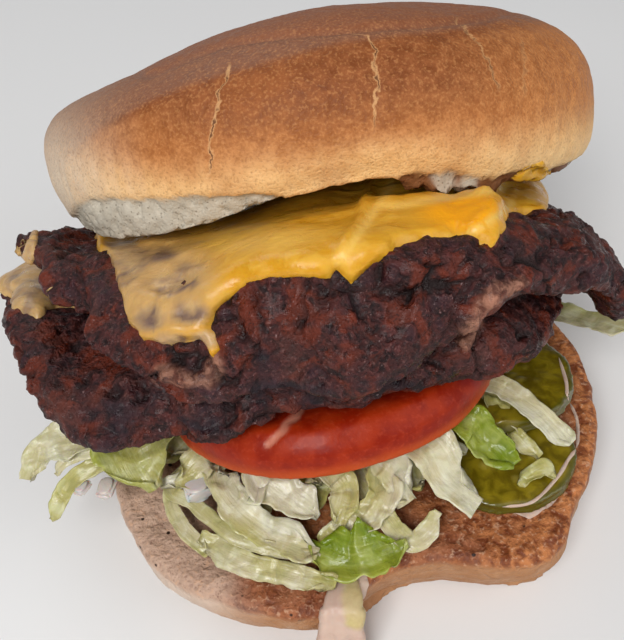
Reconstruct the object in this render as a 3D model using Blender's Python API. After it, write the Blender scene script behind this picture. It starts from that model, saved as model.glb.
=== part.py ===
"""A double cheeseburger that gapes at the front.

The toasted heel lies flat on the ground. Sauce, pickles, shredded lettuce and a thick
slice of tomato fill the wedge above it, and the two patties, their cheese and the crown
lean back over them, each layer a little steeper than the one below.
Lengths are written in millimetres and turned into metres where a mesh is made.
The front of the burger faces -Y and its right side is +X.
"""
import math

import bmesh
import bpy
from mathutils import Matrix, Vector, noise

MM = 0.001
FRONT_CROWDING = 18.0

# Heel: the lower half of the bun
HEEL_RADIUS = 52.4
HEEL_HEIGHT = 14.5
HEEL_DENTS = ((275.0, 12.0, -9.5), (289.0, 9.0, -5.5), (309.0, 7.0, 2.5), (222.0, 15.0, 2.5))

# The leaning stack: both patties and their cheese
STACK_ORIGIN = (0.0, 0.0, 39.2)
STACK_TILT = 20.0
STACK_ROLL = 0.0
STACK_FRONT_THICKNESS = 32.5
STACK_THINNING = 0.125
STACK_FRONT_V = -42.0
LOWER_PATTY_SHARE = 0.42
UPPER_PATTY_SHARE = 0.93
CHEESE_THICKNESS = 2.0
LAYER_GAP = 0.45
FRONT_DROOP = 5.5
FRONT_LEFT_DROOP = 7.0
RIGHT_DROOP = 10.0
SINK_ON_TOMATO = 4.1
SINK_UNDER_CROWN = 5.1
RIGHT_END_HANG = 9.0
FRONT_LIP_HANG = 10.0
RIPPLE = 0.5
RIPPLE_SIZE = 20.0

# Crown: the upper half of the bun
CROWN_RADIUS = 56.4
CROWN_DEPTH_RADIUS = 51.0
CROWN_HEIGHT = 35.4
CROWN_EQUATOR = 12.0
CROWN_HOLLOW = 1.2
CROWN_ARCH = 1.2
CROWN_END_DROOP = 1.6
CROWN_LUMP = 0.7
CROWN_LUMP_SIZE = 26.0
CROWN_ORIGIN = (0.1, 31.1, 49.3)
CROWN_TILT = 27.0
CROWN_ROLL = -0.5

# Tomato slice
TOMATO_RADIUS = 33.4
TOMATO_THICKNESS = 9.5
TOMATO_ORIGIN = (-3.6, -5.4, 25.0)
TOMATO_TILT = 18.0
TOMATO_ROLL = 3.5

# Pickle chips
PICKLE_RADIUS = 17.0
PICKLE_THICKNESS = 3.2


# ---------------------------------------------------------------- helpers

def ease(low, high, value):
    """Smooth step from 0 at low to 1 at high."""
    t = min(max((value - low) / (high - low), 0.0), 1.0)
    return t * t * (3.0 - 2.0 * t)


def angle_gap(a, b):
    """Signed gap between two angles in degrees, from -180 to 180."""
    return (a - b + 180.0) % 360.0 - 180.0


def lobe(angle, centre, spread, height):
    """A rounded bump of an outline, centred on an angle in degrees."""
    return height * math.exp(-(angle_gap(angle, centre) / spread) ** 2)


def ellipse_radius(angle, half_width, half_depth):
    """Radius of an ellipse at an angle in degrees."""
    a = math.radians(angle)
    return 1.0 / math.hypot(math.cos(a) / half_width, math.sin(a) / half_depth)


def rough(point, size, seed):
    """Fractal noise from about -1 to 1, for lumps of the given size."""
    place = Vector(point) / size + Vector((seed * 7.31, seed * 3.17, seed * 1.73))
    return noise.fractal(place, 1.0, 2.0, 3)


def leaning_frame(origin, tilt, roll):
    """Frame at an origin, its front raised by tilt and its right side by roll."""
    turn = Matrix.Rotation(math.radians(-tilt), 4, "X") @ Matrix.Rotation(math.radians(-roll), 4, "Y")
    return Matrix.Translation(Vector(origin) * MM) @ turn


def food_material(name, colour, roughness):
    """A Principled material of one colour."""
    material = bpy.data.materials.new(name)
    material.use_nodes = True
    shader = material.node_tree.nodes["Principled BSDF"]
    shader.inputs["Base Color"].default_value = (*colour, 1.0)
    shader.inputs["Roughness"].default_value = roughness
    shader.inputs["Metallic"].default_value = 0.0
    return material


def add_object(name, points, faces, material, frame=None, smooth=True):
    """Make one object from points in millimetres and their faces."""
    mesh = bpy.data.meshes.new(name)
    mesh.from_pydata([Vector(p) * MM for p in points], [], faces)
    mesh.materials.append(material)
    if smooth:
        mesh.shade_smooth()
    made = bpy.data.objects.new(name, mesh)
    bpy.context.scene.collection.objects.link(made)
    if frame is not None:
        made.matrix_world = frame
    return made


def spun_faces(rings, segments):
    """Faces of a closed body: a pole, some rings from the top down, and a pole."""
    faces = [(0, 1 + j, 1 + (j + 1) % segments) for j in range(segments)]
    for i in range(rings - 1):
        upper = 1 + i * segments
        lower = upper + segments
        for j in range(segments):
            k = (j + 1) % segments
            faces.append((upper + j, lower + j, lower + k, upper + k))
    last = 1 + (rings - 1) * segments
    faces += [(last + segments, last + (j + 1) % segments, last + j) for j in range(segments)]
    return faces


def front_weighted(index, segments):
    """Angle in degrees of one of the segments, which lie closer together at the front."""
    even = 360.0 * index / segments
    return even - FRONT_CROWDING * math.cos(math.radians(even))


def spun_solid(name, profile, point_at, segments, material, frame=None):
    """Closed body whose rings follow a profile of (share of the radius, place) pairs."""
    points = [point_at(0.0, *profile[0])]
    for step in profile[1:-1]:
        points += [point_at(front_weighted(j, segments), *step) for j in range(segments)]
    points.append(point_at(0.0, *profile[-1]))
    faces = spun_faces(len(profile) - 2, segments)
    return add_object(name, points, faces, material, frame)


def curve_through(points, steps):
    """Smooth line through the given points (Catmull-Rom)."""
    knots = [Vector(p) for p in points]
    knots = [2.0 * knots[0] - knots[1]] + knots + [2.0 * knots[-1] - knots[-2]]
    spans = len(points) - 1
    line = []
    for i in range(steps + 1):
        place = min(i * spans / steps, spans - 1e-6)
        k = int(place)
        t = place - k
        p0, p1, p2, p3 = knots[k:k + 4]
        line.append(0.5 * (2.0 * p1 + (p2 - p0) * t + (2.0 * p0 - 5.0 * p1 + 4.0 * p2 - p3) * t * t
                           + (3.0 * p1 - p0 - 3.0 * p2 + p3) * t ** 3))
    return line


# ---------------------------------------------------------------- heel

def heel_radius(angle):
    """Rim of the heel: nearly round, pressed in at the front right."""
    dents = sum(lobe(angle, *dent) for dent in HEEL_DENTS)
    return HEEL_RADIUS + dents + 0.4 * math.sin(math.radians(3 * angle))


def heel_top(x, y):
    """Height of the toasted face, a little dished and uneven."""
    reach = math.hypot(x, y) / HEEL_RADIUS
    return HEEL_HEIGHT - 0.8 * (1.0 - reach * reach) + 0.25 * rough((x, y, 0), 14.0, 1)


# Pairs of (share of the rim's radius, share of the height) from the top down
HEEL_PROFILE = (
    (0.0, 1.0), (0.45, 1.0), (0.82, 1.0), (0.95, 1.0), (0.99, 0.96), (1.0, 0.86), (0.995, 0.62),
    (0.965, 0.34), (0.915, 0.1), (0.85, 0.0), (0.45, 0.0), (0.0, 0.0),
)


def heel_point(angle, reach, level):
    a = math.radians(angle)
    radius = reach * heel_radius(angle)
    x = radius * math.cos(a)
    y = radius * math.sin(a)
    side = ease(0.0, 0.2, level) * (1.0 - level) * 4.0
    bulge = 0.5 * side * rough((x, y, 10.0 * level), 16.0, 2)
    return x + bulge * math.cos(a), y + bulge * math.sin(a), level * heel_top(x, y)


def make_heel():
    crumb = food_material("toasted_bun", (0.50, 0.24, 0.12), 0.75)
    return spun_solid("bun_heel", HEEL_PROFILE, heel_point, 56, crumb)


# ---------------------------------------------------------------- layers of the stack

def stack_thickness(v):
    """Height of the two patties and their cheese, thinner towards the back."""
    return STACK_FRONT_THICKNESS - STACK_THINNING * (v - STACK_FRONT_V)


def sag(share, u, v):
    """How far a layer droops where it hangs over what it lies on."""
    front = FRONT_DROOP * ease(-8.0, -35.0, v)
    front_left = (FRONT_LEFT_DROOP + 1.5 * share) * ease(-4.0, -34.0, v) * ease(-6.0, -36.0, u)
    right = (RIGHT_DROOP - 4.0 * share) * ease(20.0, 46.0, u)
    return -(front + front_left + right)


def settle(share, u, v):
    """How far the crown's weight presses a layer down behind the open front."""
    on_tomato = SINK_ON_TOMATO - 0.05 * u - 1.2 * ease(14.0, 28.0, u)
    under_crown = SINK_UNDER_CROWN + 1.5 * ease(-5.0, 22.0, u) + 1.6 * ease(-14.0, -34.0, u)
    held = 1.0 - ease(-46.0, -66.0, u) - 0.7 * ease(24.0, 52.0, u)
    return -(on_tomato * (1.0 - share) + under_crown * share) * ease(-28.0, -8.0, v) * held


def end_hang(u):
    """Extra droop of the upper patty past the lower one's right end."""
    return -RIGHT_END_HANG * ease(42.0, 58.0, u)


def front_hang(u, v):
    """Extra droop of the upper patty's underside in front of the lower one."""
    hang = FRONT_LIP_HANG + 5.0 * ease(20.0, -5.0, u) + 4.0 * ease(-5.0, -25.0, u)
    return -hang * ease(-33.5, -44.0, v)


def layer_height(share, u, v):
    """Height in the stack of the boundary that lies at a share of its thickness."""
    ripple = RIPPLE * rough((u, v, 30.0 * share), RIPPLE_SIZE, 3)
    return sag(share, u, v) + settle(share, u, v) + share * stack_thickness(v) + ripple


# Pairs of (share of the radius, share of the way from the top to the bottom)
PATTY_PROFILE = (
    (0.0, 0.0), (0.35, 0.0), (0.62, 0.0), (0.8, 0.01), (0.9, 0.06), (0.965, 0.19), (0.995, 0.38),
    (1.0, 0.58), (0.97, 0.79), (0.9, 0.94), (0.8, 1.0), (0.6, 1.0), (0.3, 1.0), (0.0, 1.0),
)
PATTY_SEGMENTS = 60
CRAG_DEPTH = 3.4
CRAG_SIZE = 10.0
PIT_DEPTH = 0.9
PIT_SIZE = 7.0


class Patty:
    """One patty: where it lies in the stack, its outline and its thickness."""

    def __init__(self, centre, half_width, half_depth, lobes, bottom, top, seed):
        self.centre = centre
        self.half_width = half_width
        self.half_depth = half_depth
        self.lobes = lobes
        self.bottom = bottom
        self.top = top
        self.seed = seed

    def radius(self, angle):
        bumps = sum(lobe(angle, *item) for item in self.lobes)
        return ellipse_radius(angle, self.half_width, self.half_depth) + bumps

    def smooth_point(self, angle, reach, depth):
        """Point of the patty before its crags, in the stack's frame."""
        a = math.radians(angle)
        radius = reach * self.radius(angle)
        u = self.centre[0] + radius * math.cos(a)
        v = self.centre[1] + radius * math.sin(a)
        top = self.top(u, v)
        bottom = self.bottom(u, v)
        return u, v, top + (bottom - top) * depth

    def point(self, angle, reach, depth):
        """Point of the craggy patty: the crags only cut into its side."""
        u, v, w = self.smooth_point(angle, reach, depth)
        a = math.radians(angle)
        edge = ease(0.8, 0.97, reach)
        crag = -CRAG_DEPTH * edge * ease(0.45, -0.4, rough((u, v, w), CRAG_SIZE, self.seed))
        pitted = ease(0.55, 0.9, reach) * (1.0 - edge)
        pit = PIT_DEPTH * pitted * abs(rough((u, v, w), PIT_SIZE, self.seed + 5))
        inward = 1.0 if depth < 0.5 else -1.0
        return u + crag * math.cos(a), v + crag * math.sin(a), w - inward * pit


# How many times as far the upper patty's underside hangs at its right end as its top does
END_THINNING = 2.0


def lower_patty_bottom(u, v):
    return layer_height(0.0, u, v)


def lower_patty_top(u, v):
    return layer_height(LOWER_PATTY_SHARE, u, v)


def upper_patty_bottom(u, v):
    clear = CHEESE_THICKNESS + 3.0 * LAYER_GAP + 1.3 * ease(6.0, 20.0, u) + 1.5 * ease(-32.0, -46.0, u)
    return lower_patty_top(u, v) + clear + END_THINNING * end_hang(u) + front_hang(u, v)


def upper_patty_top(u, v):
    mound = 1.5 * ease(-10.0, -34.0, v)
    return layer_height(UPPER_PATTY_SHARE, u, v) + mound + end_hang(u)


LOWER_PATTY = Patty(
    centre=(-8.0, 14.0), half_width=56.5, half_depth=50.0,
    lobes=((222.0, 14.0, 8.0), (307.0, 12.0, 6.5), (170.0, 26.0, 8.5), (60.0, 20.0, 1.5)),
    bottom=lower_patty_bottom, top=lower_patty_top, seed=11,
)
UPPER_PATTY = Patty(
    centre=(1.5, 10.0), half_width=57.0, half_depth=54.0,
    lobes=((180.0, 24.0, 6.5), (229.0, 14.0, 5.0), (272.0, 14.0, 1.5), (345.0, 10.0, 2.0),
           (30.0, 16.0, -1.5), (140.0, 18.0, 1.5)),
    bottom=upper_patty_bottom, top=upper_patty_top, seed=23,
)


def make_patties(stack):
    meat = food_material("griddled_beef", (0.085, 0.040, 0.034), 0.5)
    for name, patty in (("patty_lower", LOWER_PATTY), ("patty_upper", UPPER_PATTY)):
        spun_solid(name, PATTY_PROFILE, patty.point, PATTY_SEGMENTS, meat, stack)


# ---------------------------------------------------------------- cheese

# A slice follows the patty's own flat rings, then runs to its edge in these shares
PATH_STEPS = 4
SLICE_FLAT_RINGS = 2
SLICE_EDGE_SHARES = (0.4, 0.72, 0.88, 1.0)
EDGE_LIFT = 0.5
TIP_LIFT = 0.8
EDGE_THINNING = 0.45
LOWER_SLICE_REACH = 38.0
UPPER_SLICE_REACH = 48.5


def cheese_path(patty, angle):
    """Smooth line over a patty from its middle to its lower edge, as points and lengths."""
    line = [Vector(patty.smooth_point(angle, reach, depth)) for reach, depth in PATTY_PROFILE[:10]]
    fine = []
    for start, end in zip(line, line[1:]):
        fine += [start.lerp(end, step / PATH_STEPS) for step in range(PATH_STEPS)]
    fine.append(line[-1])
    lengths = [0.0]
    for start, end in zip(fine, fine[1:]):
        lengths.append(lengths[-1] + (end - start).length)
    return fine, lengths


def cheese_column(line, lengths, angle, distance, lift, thickness):
    """The lower and upper point of a slice at a distance along its path."""
    i = 1
    while i < len(line) - 1 and lengths[i] < distance - 0.001:
        i += 1
    span = lengths[i] - lengths[i - 1]
    place = line[i - 1].lerp(line[i], min((distance - lengths[i - 1]) / span, 1.0))
    along = (line[min(i + 1, len(line) - 1)] - line[max(i - 2, 0)]).normalized()
    a = math.radians(angle)
    across = Vector((-math.sin(a), math.cos(a), 0.0))
    outward = along.cross(across)
    if outward.z < 0.0 and distance < 0.8 * lengths[-1]:
        outward = -outward
    outward.normalize()
    return place + outward * lift, place + outward * (lift + thickness)


def slice_distances(lengths, edge):
    """How far along a path of the given lengths each ring of a slice lies."""
    flat = [lengths[PATH_STEPS * (ring + 1)] for ring in range(SLICE_FLAT_RINGS)]
    return flat + [flat[-1] + share * (edge - flat[-1]) for share in SLICE_EDGE_SHARES]


def make_slice(name, patty, reach, tips, folds, material, stack):
    """A melted slice that lies on a patty; its tips hang over the edge."""
    shares = (0.0,) * SLICE_FLAT_RINGS + SLICE_EDGE_SHARES
    upper = [[] for _ in shares]
    lower = [[] for _ in shares]
    for j in range(PATTY_SEGMENTS):
        angle = front_weighted(j, PATTY_SEGMENTS)
        line, lengths = cheese_path(patty, angle)
        edge = reach + sum(lobe(angle, *tip) for tip in tips)
        fold = sum(lobe(angle, *item) for item in folds)
        for i, distance in enumerate(slice_distances(lengths, edge)):
            share = shares[i]
            thin = CHEESE_THICKNESS * (1.0 - EDGE_THINNING * ease(0.9, 1.0, share))
            lift = LAYER_GAP + EDGE_LIFT * ease(0.0, 0.4, share) + TIP_LIFT * ease(50.0, 56.0, distance)
            low, high = cheese_column(line, lengths, angle, distance, lift, thin)
            swell = fold * ease(0.0, 0.4, share) * ease(1.05, 0.8, share)
            upper[i].append(high + (high - low).normalized() * swell)
            lower[i].append(low)
    line, lengths = cheese_path(patty, 0.0)
    middle_low, middle_high = cheese_column(line, lengths, 0.0, 0.01, LAYER_GAP, CHEESE_THICKNESS)
    points = [middle_high]
    for ring in upper + lower[::-1]:
        points += ring
    points.append(middle_low)
    return add_object(name, points, spun_faces(2 * len(shares), PATTY_SEGMENTS), material, stack)


# Angle, spread and length of each tip of a slice
LOWER_SLICE_TIPS = ((180.0, 20.0, 28.0), (100.0, 14.0, 12.0), (20.0, 12.0, 8.0))
UPPER_SLICE_TIPS = (
    (50.0, 14.0, 7.0), (135.0, 14.0, 8.0), (185.0, 12.0, 2.0), (233.0, 10.0, 13.5), (244.0, 4.0, 6.5),
    (258.0, 8.0, 5.0), (272.0, 5.0, 6.5), (294.0, 4.5, 5.0), (345.0, 24.0, -6.5),
)
UPPER_SLICE_FOLDS = ((264.0, 4.0, 1.2), (282.0, 4.0, 1.8), (318.0, 7.0, 1.0))


def make_cheese(stack):
    cheese = food_material("melted_cheese", (0.74, 0.36, 0.035), 0.35)
    make_slice("cheese_lower", LOWER_PATTY, LOWER_SLICE_REACH, LOWER_SLICE_TIPS, (), cheese, stack)
    make_slice(
        "cheese_upper", UPPER_PATTY, UPPER_SLICE_REACH, UPPER_SLICE_TIPS, UPPER_SLICE_FOLDS, cheese, stack
    )


# ---------------------------------------------------------------- crown

def crown_point(angle, reach, level):
    """Point of the crown in its own frame; level is a height or, at 0, the cut face."""
    a = math.radians(angle)
    radius = reach * ellipse_radius(angle, CROWN_RADIUS, CROWN_DEPTH_RADIUS)
    x = radius * math.cos(a)
    y = radius * math.sin(a)
    across = (x / CROWN_RADIUS) ** 2
    arch = CROWN_ARCH * ease(20.0, 50.0, -y) * (1.0 - across) - CROWN_END_DROOP * across
    if level <= 0.0:
        return x, y, arch + CROWN_HOLLOW * (1.0 - reach * reach)
    lump = CROWN_LUMP * ease(0.1, 0.4, reach) * rough((x, y, level), CROWN_LUMP_SIZE, 31)
    flattened = 1.0 - 0.2 * ease(5.0, -50.0, x) * ease(CROWN_EQUATOR, CROWN_HEIGHT, level)
    x *= 1.0 + 0.03 * ease(0.0, 50.0, x) * ease(CROWN_EQUATOR, 30.0, level)
    return x + lump * math.cos(a), y + lump * math.sin(a), arch + level * flattened + 0.4 * lump


def crown_profile():
    """Side of the crown from its top down: a flattened dome, a turned-in rim, the cut face."""
    steps = [(0.0, CROWN_HEIGHT)]
    rise = CROWN_HEIGHT - CROWN_EQUATOR
    for degrees in (16, 32, 46, 58, 68, 77, 85):
        a = math.radians(degrees)
        steps.append((math.sin(a) ** 0.8, CROWN_EQUATOR + rise * math.cos(a) ** 0.72))
    steps += [(1.0, CROWN_EQUATOR), (0.993, 7.6), (0.965, 3.6), (0.92, 0.8)]
    steps += [(0.87, 0.0), (0.45, 0.0), (0.0, 0.0)]
    return steps


def make_crown():
    frame = leaning_frame(CROWN_ORIGIN, CROWN_TILT, CROWN_ROLL)
    crust = food_material("bun_crust", (0.55, 0.26, 0.10), 0.5)
    return spun_solid("bun_crown", crown_profile(), crown_point, 56, crust, frame)


# ---------------------------------------------------------------- tomato

TOMATO_PROFILE = (
    (0.0, 1.0), (0.6, 1.0), (0.88, 0.97), (0.95, 0.84), (0.99, 0.6), (1.0, 0.36), (0.985, 0.12),
    (0.94, 0.0), (0.6, 0.0), (0.0, 0.0),
)


def tomato_point(angle, reach, level):
    a = math.radians(angle)
    radius = reach * (TOMATO_RADIUS + 0.5 * math.sin(math.radians(3 * angle + 40.0)))
    x = radius * math.cos(a)
    y = radius * math.sin(a)
    return x, y, level * TOMATO_THICKNESS + 0.2 * rough((x, y, 0), 18.0, 41)


def make_tomato():
    frame = leaning_frame(TOMATO_ORIGIN, TOMATO_TILT, TOMATO_ROLL)
    flesh = food_material("tomato", (0.45, 0.035, 0.015), 0.25)
    return spun_solid("tomato", TOMATO_PROFILE, tomato_point, 40, flesh, frame)


# ---------------------------------------------------------------- pickles

# Places, leans and radii of the chips: the second leans on the first
PICKLES = (
    ("pickle_1", (28.0, -21.0, 14.95), 0.0, 14.5),
    ("pickle_2", (29.0, -5.5, 18.7), 11.0, PICKLE_RADIUS),
)
CHIP_PROFILE = (
    (0.0, 1.0), (0.55, 1.0), (0.95, 1.0), (1.0, 0.7), (1.0, 0.3), (0.95, 0.0), (0.55, 0.0), (0.0, 0.0),
)


def make_pickles():
    pickle = food_material("pickle", (0.20, 0.17, 0.012), 0.25)
    for name, origin, lean, radius in PICKLES:
        def chip_point(angle, reach, level, radius=radius):
            a = math.radians(angle)
            x = reach * radius * math.cos(a)
            y = reach * radius * 0.97 * math.sin(a)
            return x, y, level * PICKLE_THICKNESS + 0.25 * reach * math.sin(2.0 * a)
        spun_solid(name, CHIP_PROFILE, chip_point, 28, pickle, leaning_frame(origin, lean, 0.0))


# ---------------------------------------------------------------- sauce

# Points that the middle of the drip passes: over the rim and down in front of it
DRIP_PATH = (
    (-5.9, -46.6, 15.8), (-6.4, -49.4, 15.2), (-6.9, -51.5, 12.6), (-7.3, -52.6, 8.6), (-7.5, -52.9, 4.8),
    (-7.6, -52.8, 2.0),
)
DRIP_STATIONS = 10
DRIP_SIDES = 10


def make_sauce():
    """A thick drip that runs from under the lettuce over the heel's front rim."""
    sauce = food_material("pink_sauce", (0.68, 0.43, 0.31), 0.3)
    line = curve_through(DRIP_PATH, DRIP_STATIONS - 1)
    across = Vector((1.0, 0.0, 0.0))
    rings = []
    for i, centre in enumerate(line):
        share = i / (DRIP_STATIONS - 1)
        along = (line[min(i + 1, DRIP_STATIONS - 1)] - line[max(i - 1, 0)]).normalized()
        normal = across.cross(along).normalized()
        round_end = math.sqrt(1.0 - 0.9 * abs(2.0 * share - 1.0) ** 8)
        half_width = (2.0 + 1.0 * ease(0.2, 0.9, share)) * round_end
        half_height = (0.7 + 0.7 * ease(0.1, 0.9, share)) * round_end
        for k in range(DRIP_SIDES):
            turn = math.tau * k / DRIP_SIDES
            sideways = across * half_width * math.cos(turn)
            rings.append(centre + sideways + normal * half_height * math.sin(turn))
    points = [sum(rings[:DRIP_SIDES], Vector()) / DRIP_SIDES] + rings
    points.append(sum(rings[-DRIP_SIDES:], Vector()) / DRIP_SIDES)
    return add_object("sauce", points, spun_faces(DRIP_STATIONS, DRIP_SIDES), sauce)


# ---------------------------------------------------------------- lettuce

HEAP_CENTRE = (-10.0, -2.0)
HEAP_RADIUS = 24.0
HEAP_LOBES = ((180.0, 40.0, 9.0), (0.0, 25.0, -3.0), (318.0, 22.0, -7.0), (262.0, 20.0, 1.0))
HEAP_FLOOR_GAP = 0.4
HEAP_CEILING_GAP = 0.6
HEAP_PROFILE = (
    (0.0, 0.0), (0.45, 0.0), (0.8, 0.03), (0.95, 0.2), (1.0, 0.5), (0.97, 0.8), (0.88, 1.0), (0.4, 1.0),
    (0.0, 1.0),
)
CEILING_MARGIN = 4.0
SHRED_THICKNESS = 1.3
SHRED_STEPS = 5
SHRED_ACROSS = 2
SHRED_FACING = Vector((0.05, -0.45, 0.9))
SHRED_WAVE = 0.35

# Each shred: width, cupping, and the points that its middle line passes
SHREDS = (
    # fork and wide blade at the front left
    (2.8, 0.3, ((-30.0, -14.0, 20.0), (-36.3, -23.4, 20.0), (-31.8, -27.9, 19.5), (-23.5, -36.1, 18.5),
                (-9.2, -41.2, 17.6))),
    (3.0, 0.3, ((-32.0, -16.0, 18.5), (-36.7, -24.0, 19.2), (-34.3, -31.6, 17.8), (-29.4, -37.0, 17.0))),
    (4.6, 0.5, ((-31.5, -34.6, 17.2), (-23.5, -39.3, 17.0), (-16.0, -42.6, 16.9), (-10.0, -45.0, 16.8))),
    (5.4, 0.8, ((-24.0, -20.0, 25.0), (-27.7, -26.7, 25.0), (-25.1, -31.2, 22.5), (-18.7, -36.0, 20.0),
                (-9.0, -39.7, 18.3))),
    (7.0, 1.6, ((-18.0, -18.0, 27.0), (-20.9, -28.0, 26.0), (-14.4, -31.6, 23.5), (-9.1, -35.3, 21.5))),
    # middle
    (5.4, 1.0, ((-5.0, -16.0, 26.0), (-6.0, -28.0, 27.6), (-4.6, -31.5, 24.0), (-6.5, -34.8, 21.5))),
    (7.5, 1.2, ((-4.0, -13.0, 25.0), (2.6, -28.5, 28.4), (6.4, -32.7, 25.0), (7.0, -35.6, 22.5))),
    (4.0, 0.6, ((-3.0, -20.0, 22.0), (3.0, -35.3, 20.5), (5.4, -38.7, 18.5), (8.0, -40.3, 17.6),
                (11.2, -38.8, 18.6), (13.7, -37.2, 21.0))),
    (5.4, 1.2, ((-7.4, -38.5, 19.0), (-3.2, -37.0, 20.4), (1.6, -30.5, 23.0), (0.0, -22.0, 24.0))),
    (7.6, 1.4, ((-10.5, -38.6, 17.8), (-3.0, -42.0, 17.2), (6.6, -40.6, 17.6))),
    # ribs and leaves at the right
    (7.2, 1.2, ((-4.0, -10.0, 24.2), (12.1, -25.4, 28.4), (16.4, -30.3, 23.5), (21.4, -34.2, 20.4))),
    (6.6, 1.6, ((-2.0, -6.0, 23.4), (19.3, -21.8, 28.6), (24.0, -25.1, 26.0), (28.2, -29.2, 22.0))),
    (4.6, 0.8, ((0.0, -2.0, 22.0), (25.0, -11.0, 26.8), (34.0, -19.4, 26.6), (40.1, -26.2, 22.6))),
    (3.6, 0.6, ((0.0, -4.0, 22.6), (23.0, -16.0, 27.4), (30.0, -20.1, 26.2), (35.8, -24.7, 22.8))),
    # left leaf, hanging arm and the pale leaf beyond it
    (8.0, 1.6, ((-24.0, -8.0, 25.0), (-38.0, -15.0, 28.0), (-42.8, -22.2, 28.0), (-38.9, -25.4, 22.6))),
    (3.4, 0.6, ((-26.0, -6.0, 24.0), (-44.2, -20.3, 26.0), (-52.3, -21.4, 24.5), (-57.7, -21.0, 22.5),
                (-60.7, -22.7, 19.5), (-61.6, -24.7, 17.5))),
    (6.0, 1.2, ((-28.0, -4.0, 24.0), (-46.0, -15.4, 28.6), (-58.0, -17.4, 29.0), (-61.8, -18.3, 26.0),
                (-64.2, -20.4, 22.0))),
    (2.4, 0.3, ((-30.0, -8.0, 23.0), (-48.0, -18.0, 27.0), (-56.1, -19.2, 26.0), (-59.4, -20.3, 24.0))),
    # hidden side: shreds round the back of the tomato
    (6.0, 0.6, ((-24.0, 2.0, 19.0), (-40.0, 8.0, 18.0), (-37.0, 24.0, 17.4), (-22.0, 35.0, 16.8),
                (-4.0, 39.0, 16.6))),
    (6.0, 0.6, ((-14.0, 37.0, 16.8), (4.0, 39.0, 16.6), (20.0, 34.5, 16.8), (33.0, 24.0, 17.2),
                (40.0, 12.5, 18.4))),
    (5.0, 0.8, ((-33.0, 16.0, 17.6), (-42.0, 26.0, 17.2), (-44.0, 37.0, 16.4))),
    (4.6, 0.6, ((29.0, 24.0, 17.2), (42.0, 26.0, 17.4), (51.0, 22.0, 16.6))),
    (4.4, 0.7, ((-24.0, 4.0, 19.0), (-44.0, 2.0, 20.4), (-55.0, 5.0, 18.6))),
    (5.0, 0.9, ((33.0, 20.0, 17.6), (47.0, 13.0, 20.6), (56.0, 3.0, 24.4), (60.0, -0.8, 25.4))),
)

# Onion dice held in the heap: size and place of each
ONION_DICE = ((5.0, (-32.0, -22.6, 20.6)), (4.2, (-49.6, -21.0, 22.6)), (3.8, (-54.4, -20.6, 21.6)))


def tomato_underside(x, y):
    """Height of the plane that the tomato's lower face lies in."""
    rise = -math.tan(math.radians(TOMATO_TILT)) * (y - TOMATO_ORIGIN[1])
    return TOMATO_ORIGIN[2] + rise + math.tan(math.radians(TOMATO_ROLL)) * (x - TOMATO_ORIGIN[0])


def patty_underside(x, y):
    """Height of the lower patty's underside above a point of the heel."""
    lean = math.radians(STACK_TILT)
    w = 0.0
    for _ in range(6):
        v = (y - STACK_ORIGIN[1] - w * math.sin(lean)) / math.cos(lean)
        w = lower_patty_bottom(x, v)
    return STACK_ORIGIN[2] - v * math.sin(lean) + w * math.cos(lean)


def heap_ceiling(x, y):
    """Height that the lettuce stays under: the tomato, and behind it the lower patty."""
    from_tomato = math.hypot(x - TOMATO_ORIGIN[0], y - TOMATO_ORIGIN[1])
    under_tomato = from_tomato < TOMATO_RADIUS + CEILING_MARGIN
    ceiling = tomato_underside(x, y) if under_tomato else math.inf
    if y > 0.0 and math.hypot(x - LOWER_PATTY.centre[0], y - LOWER_PATTY.centre[1]) < 54.0:
        ceiling = min(ceiling, patty_underside(x, y))
    return ceiling


def heap_point(angle, reach, depth):
    a = math.radians(angle)
    radius = reach * (HEAP_RADIUS + sum(lobe(angle, *item) for item in HEAP_LOBES))
    x = HEAP_CENTRE[0] + radius * math.cos(a)
    y = HEAP_CENTRE[1] + radius * math.sin(a)
    top = tomato_underside(x, y) - HEAP_CEILING_GAP - 0.6 - 0.6 * rough((x, y, 0), 8.0, 51)
    low = heel_top(x, y) + HEAP_FLOOR_GAP
    return x, y, top + (low - top) * depth


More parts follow.
